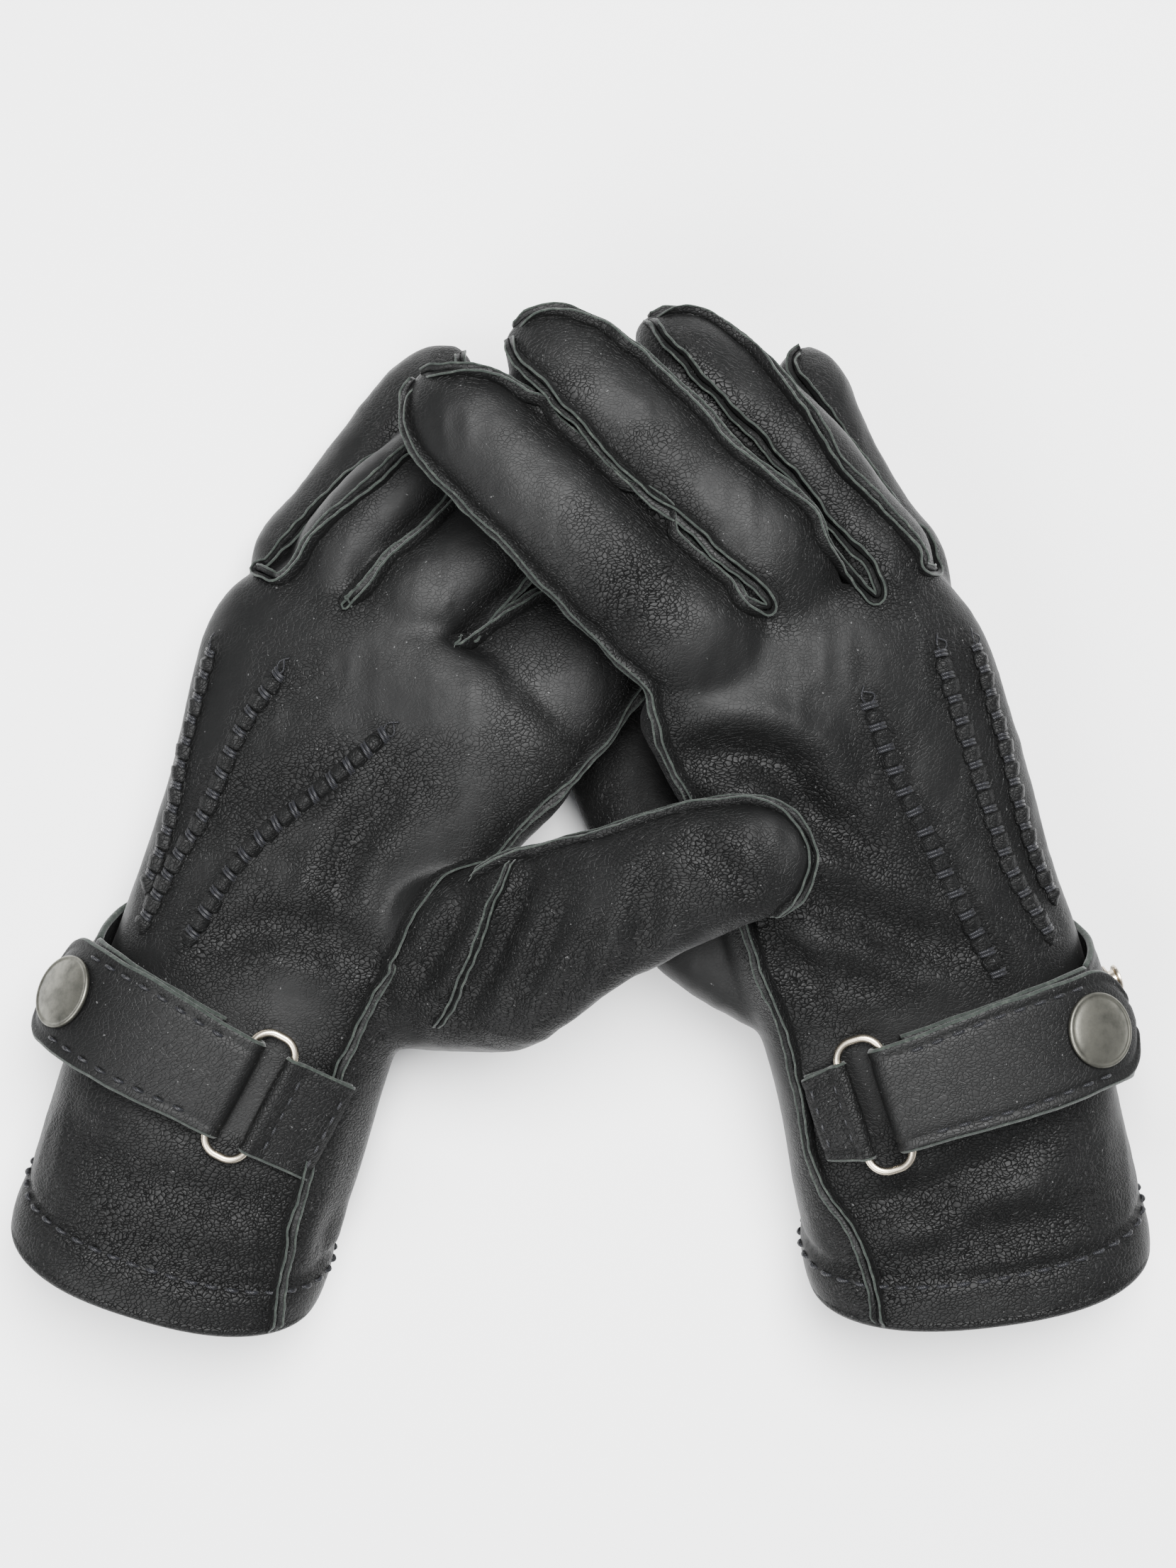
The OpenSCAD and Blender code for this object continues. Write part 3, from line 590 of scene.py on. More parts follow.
def leather(name, light=1.0, grain=1.0):
    """Nappa: creased and pebbled where the leather is slack, smooth where it is taut, with dust and
    painted shade in the grain's valleys.
    """
    n = Nodes(name)
    slack = n.new("ShaderNodeAttribute", attribute_name="slack").outputs["Fac"]
    warp = n.noise(160.0, 3.0).outputs["Color"]
    moved = n.mix("ADD", 0.004, n.coords, warp)
    stretch = n.new("ShaderNodeMapping", {
        "Vector": moved, "Scale": (1.0, 1.45, 1.0), "Rotation": (0, 0, 0.5),
    })
    cells = n.new("ShaderNodeTexVoronoi", {
        "Vector": stretch.outputs[0], "Scale": 900.0, "Randomness": 0.9,
    }, feature="DISTANCE_TO_EDGE")
    pebble = n.ramp(cells.outputs["Distance"], [(0.0, BLACK), (0.1, grey(0.75)), (0.4, grey(1.0))])
    creases = n.noise(420.0, 5.0, 0.6, moved).outputs["Fac"]
    patches = n.noise(45.0, 3.0).outputs["Fac"]
    depth = n.math("ADD", n.math("MULTIPLY", slack, 1.1), n.math("MULTIPLY", patches, 0.2))
    height = n.math("ADD", n.math("MULTIPLY", pebble, depth), n.math("MULTIPLY", creases, 0.22))
    fine = n.bump(n.noise(2600.0, 2.0).outputs["Fac"], 0.00002, 0.3)
    dark, lit = 0.002 * light, 0.0038 * light
    tone = n.noise(24.0, 5.0, 0.6).outputs["Fac"]
    colour = n.ramp(tone, [(0.3, (dark, dark * 1.03, dark * 1.04)), (0.72, (lit, lit * 1.02, lit))])
    dust = n.ramp(n.noise(1500.0, 1.0, 0.3).outputs["Fac"], [(0.78, BLACK), (0.8, grey(0.05))])
    # Painted shade: the colour darkens in the pebble grain's valleys, more where the leather is slack.
    line = n.math("MULTIPLY", n.math("SUBTRACT", 1.0, pebble), n.math("MULTIPLY", slack, 0.8))
    valley_shaded = n.mix("MIX", line, colour, (0.001, 0.001, 0.001, 1.0))
    wear = n.math("ADD", n.math("MULTIPLY", patches, 0.6), n.math("MULTIPLY", creases, 0.4))
    rough = n.ramp(wear, [(0.3, grey(0.58)), (0.7, grey(0.46))])
    n.set(Base_Color=n.mix("ADD", 1.0, valley_shaded, dust), Roughness=rough)
    n.set(Normal=n.bump(height, 0.00026, grain, fine))
    n.set(Specular_IOR_Level=0.15, IOR=1.5, Sheen_Weight=0.01, Sheen_Roughness=0.4)
    return n.material


def raw_edge(name):
    """The cut edge of the leather: matte, grey-green and fibrous."""
    n = Nodes(name)
    fibre = n.noise(700.0, 5.0, 0.7).outputs["Fac"]
    colour = n.ramp(fibre, [
        (0.3, (0.008, 0.0105, 0.009)), (0.55, (0.018, 0.023, 0.0195)), (0.78, (0.045, 0.052, 0.043)),
    ])
    n.set(Base_Color=colour, Roughness=n.ramp(fibre, [(0.3, grey(0.9)), (0.8, grey(0.7))]))
    n.set(Normal=n.bump(fibre, 0.0003, 0.9))
    n.set(Specular_IOR_Level=0.15, Sheen_Weight=0.12, Sheen_Roughness=0.5)
    return n.material


def knit(name):
    """Soft knitted lining: fine ribs along the hand with a fuzzy surface."""
    n = Nodes(name)
    ribs = n.waves(260.0, 2.0, 2.0, wave_type="BANDS", bands_direction="X")
    loops = n.waves(300.0, 2.5, 2.0, wave_type="BANDS", bands_direction="Y")
    fuzz = n.noise(1500.0, 4.0, 0.7).outputs["Fac"]
    height = n.math("ADD", n.math("MULTIPLY", ribs, loops), fuzz)
    colour = n.ramp(height, [(0.3, (0.006, 0.006, 0.007)), (0.9, (0.028, 0.028, 0.032))])
    n.set(Base_Color=colour, Roughness=0.95, Normal=n.bump(height, 0.0004, 0.9))
    n.set(Specular_IOR_Level=0.1, Sheen_Weight=0.25, Sheen_Roughness=0.6)
    return n.material


def thread(name):
    """Waxed black thread, twisted."""
    n = Nodes(name)
    twist = n.waves(900.0, 1.0, 2.0, bands_direction="DIAGONAL")
    colour = n.ramp(twist, [(0.2, (0.002, 0.002, 0.003)), (0.9, (0.009, 0.0095, 0.012))])
    n.set(Base_Color=colour, Roughness=n.ramp(twist, [(0.0, grey(0.6)), (1.0, grey(0.42))]))
    n.set(Normal=n.bump(twist, 0.0001, 0.8), Sheen_Weight=0.04, Specular_IOR_Level=0.25)
    return n.material


def metal(name, colour, dark, rough, grain):
    """Plated metal with fine brushing and a dull patina."""
    n = Nodes(name)
    patina = n.noise(220.0, 6.0, 0.65).outputs["Fac"]
    stretched = n.new("ShaderNodeMapping", {"Vector": n.coords, "Scale": (1.0, 14.0, 3.0)})
    brushing = n.noise(900.0, 4.0, 0.6, stretched.outputs[0]).outputs["Fac"]
    shade = n.ramp(patina, [(0.32, dark), (0.62, colour)])
    dull = n.ramp(patina, [(0.3, grey(rough + 0.16)), (0.7, grey(rough))])
    n.set(Base_Color=shade, Roughness=dull)
    n.set(Normal=n.bump(brushing, 0.00004, grain), Metallic=1.0)
    return n.material


LEATHER = leather("glove_leather")
STRAP_LEATHER = leather("strap_leather", grain=0.55)
# The side strips' leather is darker than the rest: painted shade between the fingers.
SHADED_GUSSET_LEATHER = leather("gusset_leather_painted_shade", light=0.6, grain=0.8)
RAW_EDGE = raw_edge("raw_leather_edge")
CHANNEL = leather("seam_channel", light=1.5, grain=0.5)
LINING = knit("knitted_lining")
THREAD = thread("waxed_thread")
NICKEL = metal("polished_nickel", (0.6, 0.53, 0.42), (0.38, 0.33, 0.26), rough=0.2, grain=0.15)
ANTIQUE = metal("antique_nickel", (0.15, 0.147, 0.125), (0.06, 0.06, 0.052), rough=0.38, grain=0.5)


# ---- The leather shell ----


def limb_solid(builder, limb, g, sides, per_station, mouth=0.0):
    """Adds a limb as a closed solid, grown by g. It starts mouth before its first section."""
    table = padded_table(limb)
    u = np.linspace(0, len(table) - 1, (len(table) - 1) * per_station + 1)
    s = spline(table, u)
    if mouth:
        first = s[0].copy()
        first[:3] -= axes(first)[0] * mouth
        s = np.vstack([first, s])
    angle = np.linspace(0, 360, sides, endpoint=False)
    rings = on_section(s[:, None, :].repeat(sides, 1), angle[None, :].repeat(len(s), 0), g)
    builder.loft(rings)


def gathered(items, field, width, kind=np.float32):
    """One field of all of a mesh's points, edges or faces, as an array of that width."""
    values = np.zeros(len(items) * width, kind)
    items.foreach_get(field, values)
    return values.reshape(-1, width)


def mesh_arrays(mesh):
    """A mesh's points, edges and point normals."""
    points = gathered(mesh.vertices, "co", 3).astype(float)
    edges = gathered(mesh.edges, "vertices", 2, np.int32)
    return points, edges, gathered(mesh.vertices, "normal", 3).astype(float)


def put_points(mesh, points):
    mesh.vertices.foreach_set("co", np.asarray(points, np.float32).ravel())
    mesh.update()


def relaxed(points, edges, rounds, amount=0.5):
    count = np.bincount(edges.ravel(), minlength=len(points))[:, None]
    for _ in range(rounds):
        total = np.zeros_like(points)
        np.add.at(total, edges[:, 0], points[edges[:, 1]])
        np.add.at(total, edges[:, 1], points[edges[:, 0]])
        points = points + amount * (total / np.maximum(count, 1) - points)
    return points


def modified(name, mesh, kind, **settings):
    """The mesh with one modifier applied."""
    work = bpy.data.objects.new(name, mesh)
    bpy.context.scene.collection.objects.link(work)
    modifier = work.modifiers.new(name, kind)
    for key, value in settings.items():
        setattr(modifier, key, value)
    graph = bpy.context.evaluated_depsgraph_get()
    result = bpy.data.meshes.new_from_object(work.evaluated_get(graph))
    bpy.data.objects.remove(work)
    return result


def fused(builder, voxel):
    """One surface around all the builder's solids, still in millimetres."""
    mesh = bpy.data.meshes.new("fused")
    mesh.from_pydata(np.concatenate(builder.points).tolist(), [], builder.faces)
    outward(mesh)
    return modified("fused", mesh, "REMESH", mode="VOXEL", voxel_size=voxel)


def mouth_plane(glove, depth):
    """A point and the inward normal of the cuff's mouth plane, moved depth into the cuff."""
    s = padded_table(glove["limbs"]["hand"])[0]
    fore, _, up = axes(s)
    normal = unit(fore * s[4] / 2 + up * s[7])
    return s[:3] + normal * depth, normal


def cut_open(mesh, glove, depth):
    """Opens a closed surface at the cuff's mouth."""
    point, normal = mouth_plane(glove, depth)
    bm = bmesh.new()
    bm.from_mesh(mesh)
    cut = {"plane_co": point, "plane_no": normal, "clear_inner": True, "dist": 0.02}
    bmesh.ops.bisect_plane(bm, geom=bm.verts[:] + bm.edges[:] + bm.faces[:], **cut)
    bm.to_mesh(mesh)
    bm.free()


def fold_depth(points, glove, fold):
    """How far each point moves in for one soft fold: a valley with a raised flank on both sides."""
    limb, width, depth, line = fold
    line = np.array(line, float)
    path = resampled(on_limb(glove["limbs"][limb], line[:, 0], line[:, 1]), FOLD_STEP)
    centre = path.mean(0)
    reach = np.linalg.norm(path - centre, axis=1).max() + 4 * width
    chosen = np.where(np.linalg.norm(points - centre, axis=1) < reach)[0]
    move = np.zeros(len(points))
    if len(chosen):
        gap = np.linalg.norm(points[chosen, None] - path[None], axis=2)
        k = gap.argmin(1)
        x = gap.min(1) / width
        fade = np.sin(np.pi * np.clip((k + 0.7) / (len(path) + 0.4), 0, 1)) ** 0.7
        valley, flank = np.exp(-x**2), 0.45 * np.exp(-((x - 1.9) ** 2) / 0.8)
        move[chosen] = -depth * fade * (valley - flank)
    return move


def strap_cover(points, glove):
    """1 where the strap lies close above the leather, fading to 0 away from it."""
    middle, fore, _, _ = wrist_axes(glove)
    along = np.abs((points - middle) @ fore)
    fade = 8
    return np.clip((STRAP_W / 2 + fade - along) / fade, 0, 1)


def hem_depth(points, glove):
    """How far inside the cuff's mouth each point lies."""
    point, normal = mouth_plane(glove, 0)
    return (points - point) @ normal


def leather_surface(glove, seed):
    """The glove's outer surface: its limbs fused, relaxed, then folded and creased like leather."""
    builder = Builder()
    for name, limb in glove["limbs"].items():
        if name == "hand":
            limb_solid(builder, limb, SHELL_SPARE, sides=96, per_station=10, mouth=6)
        else:
            limb_solid(builder, limb, SHELL_SPARE, sides=48, per_station=8)
    mesh = fused(builder, SHELL_VOXEL)
    points, edges, _ = mesh_arrays(mesh)
    points = relaxed(points, edges, 16)
    put_points(mesh, points)
    normals = mesh_arrays(mesh)[2]
    cuff = hem_depth(points, glove)
    calm = 1 - 0.8 * strap_cover(points, glove)
    wide = value_noise(points, 26, seed) * 0.45 + value_noise(points, 13, seed + 1) * 0.25
    stretched = points * np.array([1.0, 0.45, 1.0])
    coarse = np.abs(value_noise(stretched, 5.5, seed + 2)) * 0.3
    fine = np.abs(value_noise(points, 3.2, seed + 3)) * 0.12
    move = wide + (-coarse - fine)
    for fold in glove["folds"]:
        deeper = 1.7 if fold[0] == "thumb" else 1.5
        move = move + fold_depth(points, glove, fold) * deeper
    move = move * calm * np.clip(cuff / 12, 0.25, 1)
    stitched = np.exp(-(((cuff - HEM_L + 1) / 1.3) ** 2))
    padded = 0.35 * np.exp(-(((cuff - 4.5) / 3.0) ** 2))
    move = move - stitched + padded
    points = points + normals * move[:, None]
    rounding = 1.3
    short = np.clip(rounding - cuff, 0, rounding)
    points = points - normals * (rounding - np.sqrt(rounding**2 - short**2))[:, None] * 0.8
    points = relaxed(points, edges, 1)
    points[:, 2] = np.maximum(points[:, 2], 0.05)
    put_points(mesh, points)
    cut_open(mesh, glove, 0)
    return mesh


def thickened(mesh, thickness):
    """A copy of an open surface, given its thickness on the inside and scaled to metres."""
    result = modified("thick", mesh.copy(), "SOLIDIFY", thickness=thickness, offset=-1)
    put_points(result, to_world(mesh_arrays(result)[0]))
    result.polygons.foreach_set("use_smooth", [True] * len(result.polygons))
    return result


def nearness(points, lines, reach):
    """1 on any of the lines, fading to 0 over about twice the reach."""
    line = np.concatenate(lines)
    tree = KDTree(len(line))
    for k, p in enumerate(line):
        tree.insert(p, k)
    tree.balance()
    gap = np.array([tree.find(p)[2] for p in points])
    return np.exp(-((gap / reach) ** 2))


def slackness(points, glove):
    """How loosely the leather lies: 1 by its folds, seams and tucks, 0 where it is taut."""

    def laid(stops):
        return resampled([on_limb(glove["limbs"][limb], u, a) for limb, u, a in stops], FOLD_STEP)

    folds = [laid([(limb, u, a) for u, a in line]) for limb, _, _, line in glove["folds"]]
    seams = [laid(stops) for stops in [glove["side_seam"], glove["thumb_base"], *glove["crotch_seams"]]]
    tucks = [laid([("hand", u, a) for u, a in line]) for line in glove["tucks"].values()]
    slack = 0.85 * nearness(points, folds, 9)
    slack = slack + 0.45 * nearness(points, seams, 5) + 0.45 * nearness(points, tucks, 4)
    slack = slack + 0.3 * value_noise(points, 16, 71) + 0.16 * value_noise(points, 6, 72)
    cuff = np.clip(1 - (hem_depth(points, glove) - HEM_L) / 30, 0, 1)
    return np.clip(slack + 0.25 * cuff, 0, 1)


def trank_piece(side, glove, mesh):
    """The glove's shell. The faces between the fingers get the side strips' less grained leather,
    darkened as painted shade.
    """
    result = thickened(mesh, LEATHER_T)
    slack = slackness(mesh_arrays(result)[0] / MM - SHIFT, glove)
    grain = result.attributes.new("slack", "FLOAT", "POINT")
    grain.data.foreach_set("value", slack.astype(np.float32))
    centres = gathered(result.polygons, "center", 3).astype(float) / MM - SHIFT
    index = np.zeros(len(result.polygons), np.int32)
    for name, limb in glove["limbs"].items():
        if name in ("hand", "thumb"):
            continue
        table = padded_table(limb)
        samples = 40
        s = spline(table, np.linspace(0.9, len(table) - 1.6, samples))
        _, right, up = axes(s)
        offset = centres[:, None] - s[None, :, :3]
        nearest = np.linalg.norm(offset, axis=2).argmin(1)
        gap = offset[np.arange(len(centres)), nearest]
        x = (gap * right[nearest]).sum(1) / (s[nearest, 3] / 2)
        y = (gap * up[nearest]).sum(1) / (s[nearest, 4] / 2)
        # x and y run from -1 to 1 across the finger and through it. The walls are the sides' middles.
        on_finger = (np.hypot(x, y) < 1.25) & (nearest > 0) & (nearest < samples - 1)
        wall = on_finger & (np.abs(x) > 0.72) & (np.abs(y) < 0.62)
        # The hand's two outermost sides are the trank's own leather
        outer = -1 if side == "left" else 1
        if name == "little":
            wall &= np.sign(x) != outer
        if name == "index":
            wall &= np.sign(x) == outer
        index[wall] = 1
    result.polygons.foreach_set("material_index", index)
    nodes = [f"{side}_{kind}" for kind in ("trank", "fourchettes", "thumb")]
    name, leathers = f"{side}_leather_shell", [LEATHER, SHADED_GUSSET_LEATHER]
    finished(name, result, leathers, f"{side}_glove", nodes)


def lining_piece(side, glove, surface):
    """The knitted lining: the same limbs, smaller, kept under the leather and open at the hem."""
    builder = Builder()
    for name, limb in glove["limbs"].items():
        sides = 64 if name == "hand" else 28
        limb_solid(builder, limb, -LEATHER_T - 1.5, sides, per_station=5)
    mesh = fused(builder, LINING_VOXEL)
    points, edges, _ = mesh_arrays(mesh)
    points = surface.kept_under(relaxed(points, edges, 4), LEATHER_T + 0.35)
    put_points(mesh, relaxed(points, edges, 1))
    cut_open(mesh, glove, HEM_L - 2)
    result = thickened(mesh, LINING_T)
    name, node = f"{side}_knitted_lining", f"{side}_lining"
    finished(name, result, [LINING], f"{side}_glove", [node])


# ---- Snapping seams and stitches onto the finished leather ----


class Surface:
    """The finished leather, to lay seams and stitches on."""

    def __init__(self, mesh):
        points = mesh_arrays(mesh)[0]
        faces = [tuple(p.vertices) for p in mesh.polygons]
        self.tree = BVHTree.FromPolygons([Vector(p) for p in points], faces)

    def kept_under(self, points, depth):
        """Points moved in where they lie less than depth under the leather."""
        placed = points.copy()
        for k, p in enumerate(points):
            near, normal = self.tree.find_nearest(Vector(p))[:2]
            if (Vector(p) - near).dot(normal) > -depth:
                placed[k] = near - normal * depth
        return placed

    def snap(self, points, ups):
        """Moves points straight down onto the leather where it faces up, else to the nearest place."""
        placed = []
        for p, up in zip(points, ups):
            way = np.array([0.0, 0.0, 1.0]) if up[2] > 0.45 else up
            hit = self.tree.ray_cast(Vector(p + way * 5), Vector(-way), 11)[0]
            if hit is None:
                hit = self.tree.find_nearest(Vector(p))[0]
            placed.append(np.array(hit))
        return np.array(placed)


def seam_line(glove, surface, stops, step=0.8):
    """A smooth line through the stops of a seam, laid on the leather, with its up directions."""
    low = np.array([on_limb(glove["limbs"][limb], u, a) for limb, u, a in stops])
    high = np.array([on_limb(glove["limbs"][limb], u, a, 4.0) for limb, u, a in stops])
    line = resampled(np.hstack([low, unit(high - low) * 5]), step)
    ups = unit(line[:, 3:])
    placed = surface.snap(line[:, :3], ups)
    for _ in range(7):
        placed[1:-1] = eased(placed)
        ups[1:-1] = unit(eased(ups))
    return placed, ups


def ridge(line, b, ups, profile, rise):
    """Rings along a line, a point for each (across, up) of the profile. Points above 0 are raised."""
    rings = []
    for x, y in profile:
        height = y * rise if np.min(y) > 0 else y + 0 * rise
        rings.append(line + b * np.reshape(x, (-1, 1)) + ups * np.reshape(height, (-1, 1)))
    return np.stack(rings, 1)


def welt(builder, line, ups, seed, height=SEAM_H, width=3.0):
    """Two plies of cut leather edge side by side: pale lips with a dull channel between them."""
    _, b, along = line_frame(line, ups)
    pitch, end_run, lip = 4.4, 2.0, 0.5
    pinch = 0.5 + 0.5 * np.cos(2 * np.pi * along / pitch)
    sway = value_noise(line, 8, seed) * 0.7 + value_noise(line, 3.5, seed + 1) * 0.3
    end = np.clip(np.minimum(along, along[-1] - along) / end_run, 0.25, 1)
    for ply in (-1, 1):
        rise = height * (0.9 + 0.2 * value_noise(line, 6, seed + 2 + ply)) * end
        lean = (0.28 + 0.32 * value_noise(line, 5, seed + 5 + ply) - 0.15 * pinch) * ply
        inner = (0.1 + 0.12 * (1 - pinch)) * ply + sway
        outer = sway + ply * (width / 2 - 0.3)
        fray = 0.05 * value_noise(line, 1.1, seed + 9)
        top = outer + lean - lip * ply
        side = [(outer, -0.7), (outer + lean * 0.3, 0.5), (outer + lean, 0.88)]
        edge = [(outer + lean - 0.1 * ply, 1.0 + fray), (top + 0.06 * ply, 1.02 + fray), (top, 0.9)]
        channel = [(top * 0.6 + inner * 0.4, 0.7), (inner, 0.58), (inner, -0.7)]
        rings = ridge(line, b, ups, side + edge + channel, rise)
        slots = [0, 0, 1, 1, 1, 2, 2, 0, 0]
        if ply > 0:
            rings = rings[:, ::-1]
            slots = [0, 2, 2, 1, 1, 1, 0, 0, 0]
        builder.loft(rings, slots)


def stitch_arc(builder, start, end, up, radius=0.38, sink=0.5, rise=0.25):
    """One stitch: a short thread that dips into the leather at both ends."""
    f = np.linspace(0, 1, 7)
    bow = np.sin(np.pi * f)
    lift = (rise + sink) * bow**0.6 - sink
    path = start + (end - start) * f[:, None] + up * lift[:, None]
    side = unit(np.cross(end - start, up))
    ups = np.tile(np.cross(side, end - start), (len(f), 1))
    builder.loft(tube_rings(path, radius * (0.6 + 0.4 * bow), 8, ups))


def row_of_stitches(builder, line, ups, pitch, length, **shape):
    """Stitches along a line."""
    along = distances(line)

    def at(values, place):
        return np.array([np.interp(place, along, values[:, k]) for k in range(3)])

    for middle in np.arange(pitch / 2, along[-1] - length / 2, pitch):
        start, end = (at(line, middle + d) for d in (-length / 2, length / 2))
        stitch_arc(builder, start, end, unit(at(ups, middle)), **shape)


def seam_pieces(side, glove, surface):
    seed = 11 if side == "left" else 47
    edges = [LEATHER, RAW_EDGE, CHANNEL]
    line, ups = seam_line(glove, surface, glove["side_seam"])
    builder = Builder(side)
    welt(builder, line, ups, seed, height=2.3)
    builder.piece("side_seam_edges", edges, "glove", "raw_edge", "side_seam")
    builder = Builder(side)
    for i, stops in enumerate(glove["crotch_seams"]):
        line, ups = seam_line(glove, surface, stops)
        welt(builder, line, ups, seed + 10 * (i + 1))
    builder.piece("finger_seam_edges", edges, "glove", "raw_edge", "finger_seams")
    builder = Builder(side)
    line, ups = seam_line(glove, surface, glove["thumb_seam"])
    welt(builder, line, ups, seed + 70, height=2.2, width=2.6)
    line, ups = seam_line(glove, surface, glove["thumb_base"])
    welt(builder, line, ups, seed + 80, height=1.3, width=2.2)
    builder.piece("thumb_seam_edges", edges, "glove", "raw_edge", "thumb_seam")


def tuck_pieces(side, glove, surface):
    """Three raised tucks, each a fold of leather gathered into blocks by whipstitches."""
    pitch = 5.2
    profile = [
        (1.35, -0.6), (1.15, 0.0), (1.0, 0.42), (0.78, 0.78), (0.42, 0.97), (0, 1.0),
        (-0.42, 0.95), (-0.78, 0.74), (-1.0, 0.38), (-1.15, 0.0), (-1.35, -0.6),
    ]
    for name, stops in glove["tucks"].items():
        line, ups = seam_line(glove, surface, [("hand", u, a) for u, a in stops], 0.3)
        t, b, along = line_frame(line, ups)
        from_gap = np.abs((along + pitch / 2) % pitch - pitch / 2)
        block = np.clip((from_gap - 0.5) / 0.85, 0, 1)
        block = block * block * (3 - 2 * block)
        ends = np.clip(np.minimum(along, along[-1] - along) / 2.5, 0.15, 1)
        uneven = 0.14 * value_noise(line, 2.4, len(name))
        pucker = 1 + uneven + 0.1 * np.sin(2 * np.pi * along / pitch)
        rise = (0.5 + 1.4 * block) * ends * pucker
        sway = 1 + 0.08 * value_noise(line, 3, 40 + len(name))
        half = (1.05 + 0.75 * block) * (0.6 + 0.4 * ends) * sway
        builder = Builder(side)
        builder.loft(ridge(line, b, ups, [(x * half, y) for x, y in profile], rise))

        def strand(path, radius):
            before = len(builder.faces)
            builder.loft(tube_rings(path, radius, 8, np.tile(t[len(t) // 2], (len(path), 1))))
            builder.slots[before:] = [1] * (len(builder.faces) - before)

        # Two strands wrapped over each gap between the blocks
        arc = np.linspace(0, np.pi, 9)
        high = (1.35 * np.sin(arc) - 0.25)[:, None]
        for place in np.arange(0.0, along[-1], pitch):
            i = int(np.abs(along - place).argmin())
            foot, reach = t[i] * 0.35, b[i] * 1.75
            for shift in (-0.42, 0.42):
                crown = line[i] + t[i] * shift
                start, end = crown + reach - foot, crown - reach + foot
                over = (start + end) / 2 + (start - end) / 2 * np.cos(arc)[:, None]
                strand(over + ups[i] * high, 0.4)
        # Two loose thread ends past the tuck's first stitch
        loose = np.linspace(0, 1, 12)[:, None]
        for k, (reach, curl) in enumerate(((4.5, 1.3), (3.4, -1.6))):
            lifted = line[0] + ups[0] * (0.5 + 0.5 * np.sin(2.6 * loose) * (k + 0.6))
            strand(lifted - t[0] * (reach * loose) + b[0] * (curl * np.sin(3.4 * loose)), 0.19)
        builder.piece(f"tuck_{name}_point", [LEATHER, THREAD], "glove", "leather", f"tuck_{name}")


def hem_pieces(side, glove, surface):
    """The folded hem: a rolled edge round the mouth and a band inside it, then its running stitch."""
    s = padded_table(glove["limbs"]["hand"])
    angle = np.linspace(0, 360, 161)[:-1]

    def around(depth, g):
        """The cuff's section at a depth inside its mouth, grown by g."""
        u = depth / np.linalg.norm(s[1, :3] - s[0, :3])
        return on_section(np.tile(spline(s, np.array(u)), (len(angle), 1)), angle, g)

    # The leather's rim, a millimetre inside the mouth
    fore = axes(s[0])[0]
    point, normal = mouth_plane(glove, 0)
    outer = on_section(np.tile(s[0], (len(angle), 1)), angle, 0)
    radial = unit(outer - point)
    placed = []
    for p, d in zip(outer + fore, radial):
        hit = surface.tree.ray_cast(Vector(p + d * 8), Vector(-d), 16)[0]
        placed.append(np.array(hit) if hit is not None else p)
    rim = np.tile(np.array(placed) - fore, (3, 1))
    for _ in range(4):
        rim[1:-1] = eased(rim)
    rim = rim[len(angle):2 * len(angle)]

    roll_r = 1.38
    centre = rim - radial * (roll_r - 0.02) + normal * 0.55
    builder = Builder(side)
    builder.loft(centre[:, None] + roll_r * circle(radial[:, None], -normal, 14), closed_along=True)
    depths = np.linspace(0.6, HEM_L, 8)
    band = [around(d, -LEATHER_T - 0.3) for d in depths]
    band += [around(d, -2 * LEATHER_T - 0.25) for d in depths[::-1]]
    builder.loft(np.array(band).swapaxes(0, 1), closed_along=True)
    builder.piece("rolled_hem", [LEATHER], "glove", "leather", "hem_fold", slack=0.6)

    stitched = HEM_L - 1.3
    low = around(stitched, 0)
    ups = unit(around(stitched, 3) - low)
    # Only where the cuff is clear of the table, starting from its resting side
    order = np.where(low[:, 2] > 3.0)[0]
    gap = np.where(np.diff(order) > 1)[0]
    if len(gap):
        order = np.concatenate([order[gap[0] + 1:], order[:gap[0] + 1]])
    line = surface.snap(low[order], ups[order])
    builder = Builder(side)
    row_of_stitches(builder, line, ups[order], 4.6, 3.0, radius=0.48, sink=0.4, rise=0.55)
    builder.piece("hem_running_stitch", [THREAD], "glove", "thread", "hem_stitches")


# ---- Strap, keeper and hardware ----


def wrist_point(glove, angle, g):
    """A point of the wrist's section, drawn flat as (across, up)."""
    s = glove["wrist"]
    a = np.radians(side_angle(glove, np.asarray(angle, float)))
    return np.stack([(s[3] / 2 + g) * boxy(np.cos(a)), (s[4] / 2 + g) * boxy(np.sin(a))], -1)


def slant(glove, angle, g, slope=0.0):
    """The flat direction along the leather at a wrist angle, towards smaller angles."""
    return unit(wrist_point(glove, angle - 1, g - slope) - wrist_point(glove, angle + 1, g + slope))


def bar_centre(glove, bar):
    middle = glove["strap"][0]
    return wrist_point(glove, middle, BAR_G) + bar * RING_W / 2 * slant(glove, middle, BAR_G)


def from_flat(glove, flat, along=0.0):
    """Flat wrist points as drawing-frame points, moved along the hand."""
    middle, fore, right, up = wrist_axes(glove)
    flat = np.asarray(flat, float)
    placed = middle + flat[..., :1] * right + flat[..., 1:2] * up
    return placed + np.asarray(along)[..., None] * fore


def bar_angle(glove):
    return math.degrees(0.5 * RING_W / (glove["wrist"][3] / 2 + BAR_G))


def wrist_frame(glove, angle, g, slope=0.0):
    """Position, thumbward direction, along direction and outward direction at a wrist angle."""
    x = slant(glove, angle, g, slope)
    _, fore, right, up = wrist_axes(glove)
    out = glove["side"] * (x[0] * up - x[1] * right)
    place = from_flat(glove, wrist_point(glove, angle, g))
    return place, x[0] * right + x[1] * up, fore * glove["side"], out


def flap_height(glove, angle):
    """Height of the flap's underside above the wrist, and how it grows with the angle."""
    start, end = glove["strap"][0] + bar_angle(glove) + 1, glove["strap"][2]
    slope = (FLAP_G[1] - FLAP_G[0]) / (end - start)
    return FLAP_G[0] + slope * (angle - start), slope


